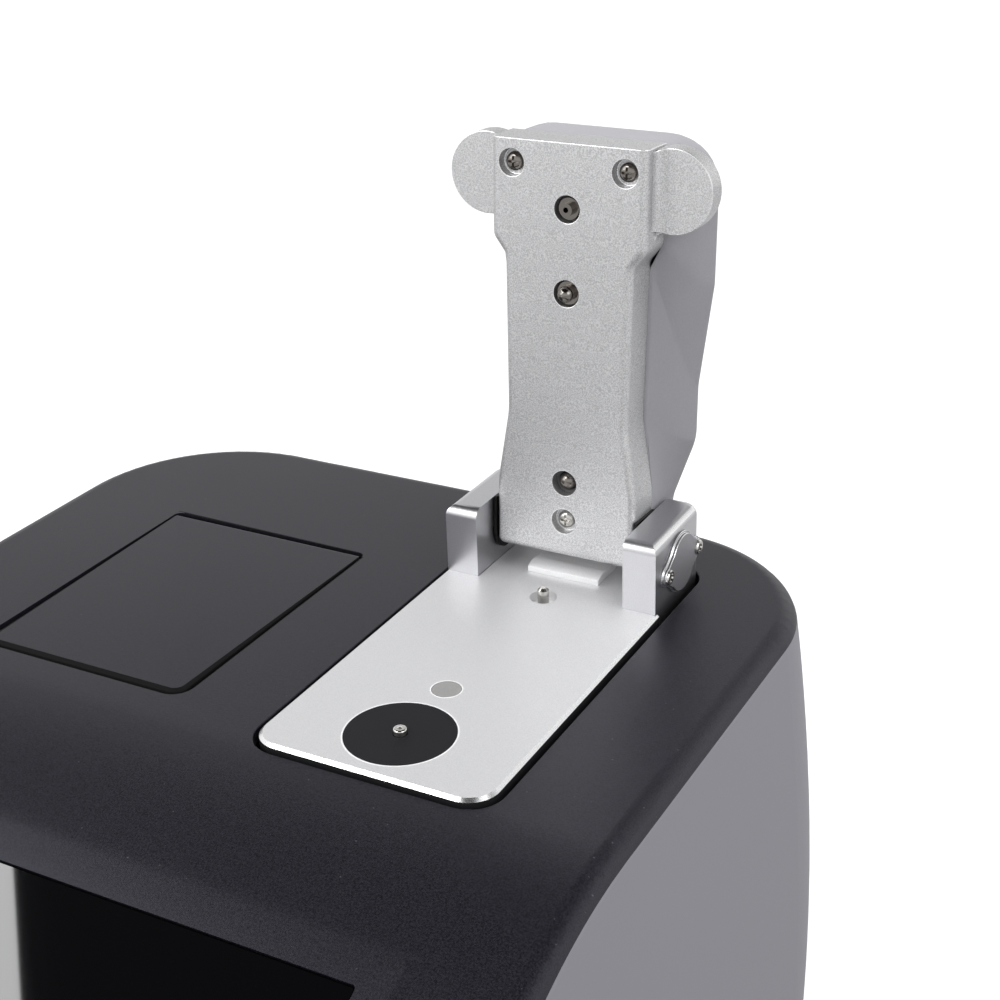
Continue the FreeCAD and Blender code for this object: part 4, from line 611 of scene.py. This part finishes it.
for middle, radius, tag in ((disc_middle, disc_radius, "disc"),
                            (magnet_middle, magnet_radius, "magnet")):
    place = Vector((middle.x, middle.y, plate_high.z))
    ring = painted_highlight_ring("plate_edge_ring_" + tag, place, radius + RING_OFFSET, PALE_LIT)
    fasten(ring, "base", slot_of("pedestal_plate"))

# Pedestals: a domed tip round the fibre

tip = started("lower_pedestal", CHROME)
tip_top = box_of("lower_pedestal")[1].z
ease(tip, lambda start, end: min(start.z, end.z) > tip_top - 0.02
     and (start - disc_middle).xy.length > 1, 0.4, segments=3)
finished(tip, "lower_pedestal", 50)
crown = Vector((disc_middle.x, disc_middle.y, tip_top))
collar = turned("FibreCollar", crown, (0, 0, 1),
                [(-1.0, 0.66), (-0.03, 0.66), (0.0, 0.6), (0.0, 0.24), (-0.3, 0.22)], CHROME)
core = turned("FibreCore", crown, (0, 0, 1), [(-0.4, 0.22), (-0.1, 0.22)], BLACK_STEEL)
fasten(smooth(joined("lower_fibre", collar, core), 40), "base", slot_of("lower_pedestal"))

# Cuvette lid and cover: soft edges along the lid's gap, painted near-black as shade in the gap,
# round corners at the hinge

LID_GAP = Vector((0.75, 0.75, 0))
LID_CORNER, LID_SHADE_BAND = 1.5, 1.5
OPENING_CORNER, CORNER_LAP, CORNER_RISE = 1.8, 0.4, 0.004

lid_low, lid_high = box_of("cuvette_lid")
opening_low, opening_high = lid_low - LID_GAP, lid_high + LID_GAP

lid = started("cuvette_lid", BLACK, SHADE_BAND)
for way, x in ((1, lid_low.x), (-1, lid_high.x)):
    corner = Vector((x, lid_high.y, 0))
    carve(lid, hollow_corner("LidCorner", corner, way, LID_CORNER, 0.5,
                             lid_low.z - 1, lid_high.z + 1))
# The lid's broken top edge takes the near-black: painted shade along the gap.
ease(lid, lambda start, end: min(start.z, end.z) > lid_high.z - 0.02
     and max(start.y, end.y) < lid_high.y - 1.45, LID_SHADE_BAND, segments=2, slot=1)
finished(lid, "cuvette_lid", 30)

cover_top = box_of("top_cover")[1].z
slot_box = (plate_low.x - 2, plate_low.y - 2, plate_high.x + 2, box_of("bracket_right")[1].y + 3)
lid_box = (opening_low.x - 0.1, opening_low.y - 0.1, opening_high.x + 0.1, opening_high.y + 0.1)


def within(point, box):
    return box[0] < point.x < box[2] and box[1] < point.y < box[3]


cover = started("top_cover", BLACK, SHADE_BAND, flatness=0.02)
ease(cover, lambda start, end: min(start.z, end.z) > cover_top - 0.02
     and within(start, slot_box), 0.3, segments=3)
# The opening's broken edge takes the near-black: painted shade along the gap.
ease(cover, lambda start, end: min(start.z, end.z) > cover_top - 0.02
     and within(start, lid_box), 0.4, segments=2, slot=1)
finished(cover, "top_cover", 35)
for way, x in ((1, opening_low.x), (-1, opening_high.x)):
    corner = Vector((x, opening_high.y, 0))
    fill = hollow_corner("opening_corner_left" if way > 0 else "opening_corner_right", corner,
                         way, OPENING_CORNER, CORNER_LAP, cover_top - 1, cover_top + CORNER_RISE)
    fasten(smooth(paint(fill, BLACK), 35), "base", slot_of("top_cover"))

# Arm plate: bright broken edges and painted shade in the contact bores

hinge = Vector(frame["record"]["behaviour"]["joints"][0]["pos_m"])
open_angle = 180 - frame["record"]["behaviour"]["joints"][0]["range_deg"][1]
arm_frame = Matrix.Translation(hinge) @ Matrix.Rotation(math.radians(open_angle), 4, "X")
to_arm = arm_frame.inverted()


def on_arm(place):
    """A place in millimetres seen from the hinge, with the arm lying down."""
    return to_arm @ (place * MM) / MM


arm = started("arm_plate", ARM, CUT, BORE_SHADE, flatness=0.05)
bevel(arm, 0.22, 2, 50, edge_slot=1)
SCREWS = [(-13.4, 87.7), (13.4, 87.7), (0, 6.4)]
CONTACTS = [(0, 78.8), (0, 60.2), (0, 15.8)]
SEAT_LEVEL = 2.9
CONTACT_LEVEL, CONTACT_RADIUS = 3.2, 3.1


def on_floor(place, normal):
    spot = on_arm(place)
    near = any(math.dist(spot.xy, contact) < CONTACT_RADIUS for contact in CONTACTS)
    return near and spot.z < CONTACT_LEVEL


# Faces round the contacts below the contact level take the grey: painted shade in the bores.
recolour(arm, 2, on_floor)
finished(arm, "arm_plate")

# Screws in the arm's face: pan heads with a cross recess

# The pan heads take the darkened steel: painted dark reflection.
pan_head = turned("PanHead", (0, 0, 0), (0, 0, 1),
                  [(0, 2.1), (0.6, 2.1), (1.1, 1.9), (1.45, 1.45), (1.6, 0.9), (1.65, 0.3)],
                  CHROME_DARKENED)
for half in ((1.25, 0.27), (0.27, 1.25)):
    carve(pan_head, block("Cross", (-half[0], -half[1], 0.7), (half[0], half[1], 2)))
smooth(pan_head, 35)
out_of_face = arm_frame.to_3x3() @ Vector((0, 0, 1))


def arm_place(x, y, z):
    return arm_frame @ (Vector((x, y, z)) * MM) / MM


top_screws = [stood(pan_head, arm_place(x, y, SEAT_LEVEL), out_of_face) for x, y in SCREWS[:2]]
fasten(joined("arm_screws_finished", *top_screws), body_of("arm_screws"), slot_of("arm_screws"),
       "arm_screws")
heel_screw = stood(pan_head, arm_place(*SCREWS[2], SEAT_LEVEL), out_of_face)
heel_screw.name = "arm_heel_screw_finished"
fasten(paint(heel_screw, STEEL), body_of("arm_heel_screw"), slot_of("arm_heel_screw"),
       "arm_heel_screw")
bpy.data.objects.remove(pan_head)

# Arm cover: corners of the head drawn in to a wide round

shell = started("arm_cover", SHELL, flatness=0.02)
shell.matrix_world = to_arm
settle(shell)
HEAD_AXIS, HEAD_RADIUS = Vector((13.9, 80.7)), 12.0
FAN_STEP = 10


def in_mesh(piece, mode, rule):
    """Go into edit mode with the vertices or faces that a rule in millimetres keeps."""
    alone(piece)
    bpy.ops.object.mode_set(mode="EDIT")
    bpy.ops.mesh.select_mode(type=mode)
    bpy.ops.mesh.select_all(action="DESELECT")
    bpy.ops.object.mode_set(mode="OBJECT")
    if mode == "VERT":
        for point in piece.data.vertices:
            point.select = rule(point.co / MM)
    else:
        for face in piece.data.polygons:
            face.select = rule(face.center / MM)
    bpy.ops.object.mode_set(mode="EDIT")


def in_corner(spot, side):
    return spot.x * side > HEAD_AXIS.x - 0.01 and spot.y > HEAD_AXIS.y - 0.01


def corner_polar(spot, side):
    across, up = spot.x * side - HEAD_AXIS.x, spot.y - HEAD_AXIS.y
    return math.degrees(math.atan2(max(up, 0), max(across, 0))), math.hypot(across, up)


head_top = max(point.co.y for point in shell.data.vertices) / MM
for side in (-1, 1):
    axis = Vector((side * HEAD_AXIS.x, HEAD_AXIS.y, 0)) * MM
    for flat in ((1, 0, 0), (0, 1, 0)):
        in_mesh(shell, "FACE", lambda spot: True)
        bpy.ops.mesh.bisect(plane_co=axis, plane_no=flat)
        bpy.ops.object.mode_set(mode="OBJECT")
    for angle in range(FAN_STEP, 90, FAN_STEP):
        in_mesh(shell, "FACE", lambda spot: in_corner(spot, side))
        slope = math.radians(angle)
        bpy.ops.mesh.bisect(plane_co=axis,
                            plane_no=(-math.sin(slope), side * math.cos(slope), 0))
        bpy.ops.object.mode_set(mode="OBJECT")
in_mesh(shell, "VERT", lambda spot: spot.y > HEAD_AXIS.y + 0.01)
bpy.ops.transform.resize(value=(1, HEAD_RADIUS / (head_top - HEAD_AXIS.y), 1),
                         center_override=(0, HEAD_AXIS.y * MM, 0))
bpy.ops.object.mode_set(mode="OBJECT")
for side in (-1, 1):
    axis = Vector((side * HEAD_AXIS.x, HEAD_AXIS.y, 0)) * MM
    polar = [corner_polar(point.co / MM, side) for point in shell.data.vertices
             if in_corner(point.co / MM, side)]
    reach = {angle: max(length for turn, length in polar if abs(turn - angle) < 1.2)
             for angle in range(0, 91, FAN_STEP)}
    for turn in sorted({round(turn) for turn, length in polar if 0.5 < turn < 89.5}):
        step = min(turn // FAN_STEP * FAN_STEP, 90 - FAN_STEP)
        share = (turn - step) / FAN_STEP
        edge = reach[step] * (1 - share) + reach[step + FAN_STEP] * share
        grow = min(1.0, HEAD_RADIUS / edge)
        in_mesh(shell, "VERT", lambda spot: in_corner(spot, side)
                and round(corner_polar(spot, side)[0]) == turn)
        bpy.ops.transform.resize(value=(grow, grow, 1), center_override=axis)
        bpy.ops.object.mode_set(mode="OBJECT")
shell.matrix_world = arm_frame
settle(shell)
bevel(shell, 0.3, 2, 40)
finished(shell, "arm_cover", 40, weighted=False)

PLAIN_LOOKS = {
    "lower_housing": GREY, "base_plate": PANEL, "rubber_feet": RUBBER,
    "screen_glass": GLASS, "display_module": INNER_AND_SHADE, "lid_hinge_pins": STEEL,
    # upper_pedestal, magnet_ball and path_anvil take the darkened steel: painted dark reflection.
    "path_stud": STEEL, "upper_pedestal": CHROME_DARKENED,
    "cuvette_bay": INNER_AND_SHADE, "cuvette_holder": BLACK_STEEL, "cuvette_light_source": MODULE,
    "cuvette_detector": INNER_AND_SHADE, "holder_post": MODULE, "pedestal_disc": DISC,
    # stud_bush takes the pale finish: painted highlight on its countersink.
    "stud_bush": PALE_LIT, "path_actuator": MODULE, "stop_pad": RUBBER,
    "magnet_ball": CHROME_DARKENED, "path_anvil": CHROME_DARKENED, "hinge_shaft_left": STEEL,
    "hinge_shaft_right": STEEL, "hinge_leaf_left": BLACK_STEEL, "hinge_leaf_right": BLACK_STEEL,
    "optics_frame": MODULE, "main_board": BOARD, "board_standoffs": STEEL,
    "spectrometer_module": MODULE, "flash_lamp_module": MODULE, "power_board": BOARD,
    "power_standoffs": STEEL, "rear_panel": PANEL, "power_inlet": INNER_AND_SHADE,
    "power_switch_frame": INNER_AND_SHADE, "power_rocker": INNER_AND_SHADE, "usb_host_socket_1": STEEL,
    "usb_host_socket_2": STEEL, "usb_device_socket": STEEL,
}
for name, finish in PLAIN_LOOKS.items():
    clad(name, finish)


# Floor, light and camera

FLOOR_COLOUR = (0.3, 0.3, 0.3)
FLOOR_LIFT = (0.86, 0.86, 0.86)
MIRRORED_LIFT = (0.34, 0.34, 0.34)
AMBIENT = (0.55, 0.55, 0.57)
BACKDROP = ((0, 1.0), (20, 0.95), (29, 0.8), (36, 0.45), (46, 0.03), (90, 0.015))


def by_ray(tree, camera, mirrored, other):
    """One colour to the camera, one in shiny surfaces and through glass, one elsewhere."""
    rays = {kind: tree.add("ShaderNodeLightPath", out="Is %s Ray" % kind)
            for kind in ("Camera", "Glossy", "Transmission")}
    shiny = rays["Glossy"].maths("MAXIMUM", rays["Glossy"], rays["Transmission"])
    return tree.mixed(rays["Camera"], tree.mixed(shiny, other, mirrored), camera)


def studio_floor():
    """A pale floor that reads as the white background and keeps the object's shadow."""
    bpy.ops.object.select_all(action="DESELECT")
    bpy.ops.mesh.primitive_plane_add(size=9, location=(0, 0, 0))
    floor = bpy.context.object
    floor.name = "StudioFloor"
    settle(floor)
    finish = Finish("PaleFloor", FLOOR_COLOUR, 0.8, specular=0.1)
    finish.shader.inputs["Emission Strength"].default_value = 1.0
    finish.feed("Emission Color", by_ray(finish, FLOOR_LIFT, MIRRORED_LIFT, (0, 0, 0)))
    paint(floor, finish)


def studio_world():
    """White to the camera; a white backdrop under a dim ceiling to shiny surfaces."""
    world = bpy.data.worlds.new("Studio")
    bpy.context.scene.world = world
    world.use_nodes = True
    tree = Nodes(world.node_tree)
    direction = tree.add("ShaderNodeTexCoord", out="Generated")
    rise = tree.add("ShaderNodeSeparateXYZ", {}, {"Vector": direction}, out="Z")
    stops = [(math.sin(math.radians(angle)), level) for angle, level in BACKDROP]
    backdrop = tree.add("ShaderNodeValToRGB", {"stops": stops}, {"Fac": rise})
    colour = by_ray(tree, (1, 1, 1), backdrop, AMBIENT)
    background = world.node_tree.nodes["Background"]
    world.node_tree.links.new(colour.socket, background.inputs["Color"])
    background.inputs["Strength"].default_value = 1.0


def softbox(name, place, target, size, power, turn=0, shiny=True):
    """A rectangular lamp that faces a point of the object, turned about its own axis."""
    data = bpy.data.lights.new(name, "AREA")
    data.shape = "RECTANGLE"
    data.size, data.size_y = size
    data.energy = power
    lamp = bpy.data.objects.new(name, data)
    bpy.context.scene.collection.objects.link(lamp)
    lamp.location = place
    lamp.rotation_mode = "QUATERNION"
    aim = (Vector(target) - Vector(place)).to_track_quat("-Z", "Y")
    lamp.rotation_quaternion = aim @ Quaternion((0, 0, 1), math.radians(turn))
    lamp.visible_glossy = shiny
    return lamp


def studio_camera():
    """The photograph's view: a long lens from the front right, slightly rolled."""
    data = bpy.data.cameras.new("PhotoCamera")
    data.sensor_width = 36
    data.lens = 62.83
    data.clip_start = 0.01
    data.clip_end = 50
    camera = bpy.data.objects.new("PhotoCamera", data)
    bpy.context.scene.collection.objects.link(camera)
    turn, tilt, roll = (math.radians(a) for a in (28.988, 25.099, 1.875))
    right = Vector((math.cos(turn), math.sin(turn), 0))
    level = Vector((-math.sin(turn), math.cos(turn), 0))
    ahead = level * math.cos(tilt) - Vector((0, 0, 1)) * math.sin(tilt)
    down = ahead.cross(right)
    across = right * math.cos(roll) + down * math.sin(roll)
    below = down * math.cos(roll) - right * math.sin(roll)
    axes = Matrix((across, -below, -ahead)).transposed()
    camera.matrix_world = axes.to_4x4()
    camera.location = (0.20445, -0.20676, 0.34563)
    bpy.context.scene.camera = camera


studio_floor()
studio_world()
softbox("Overhead", (0.26, 0.3, 1.35), (0.26, 0.3, 0), (0.9, 0.9), 6.6, shiny=False)
softbox("Strip", (-1.131, -0.403, 1.3), (-1.131, -0.403, 0), (0.54, 0.9), 5.4, turn=24.8)
softbox("FrontHigh", (-0.5, -0.95, 1.15), (0.04, 0.1, 0.2), (0.5, 0.5), 4.2)
softbox("FrontLeft", (-1.1, -1.2, 0.8), (0.04, 0.1, 0.2), (0.9, 0.9), 4.2)
softbox("RightFill", (1.3, -0.25, 0.98), (0.1, 0.1, 0.15), (0.9, 0.9), 5.6)
studio_camera()
bpy.context.scene.view_settings.view_transform = "Standard"
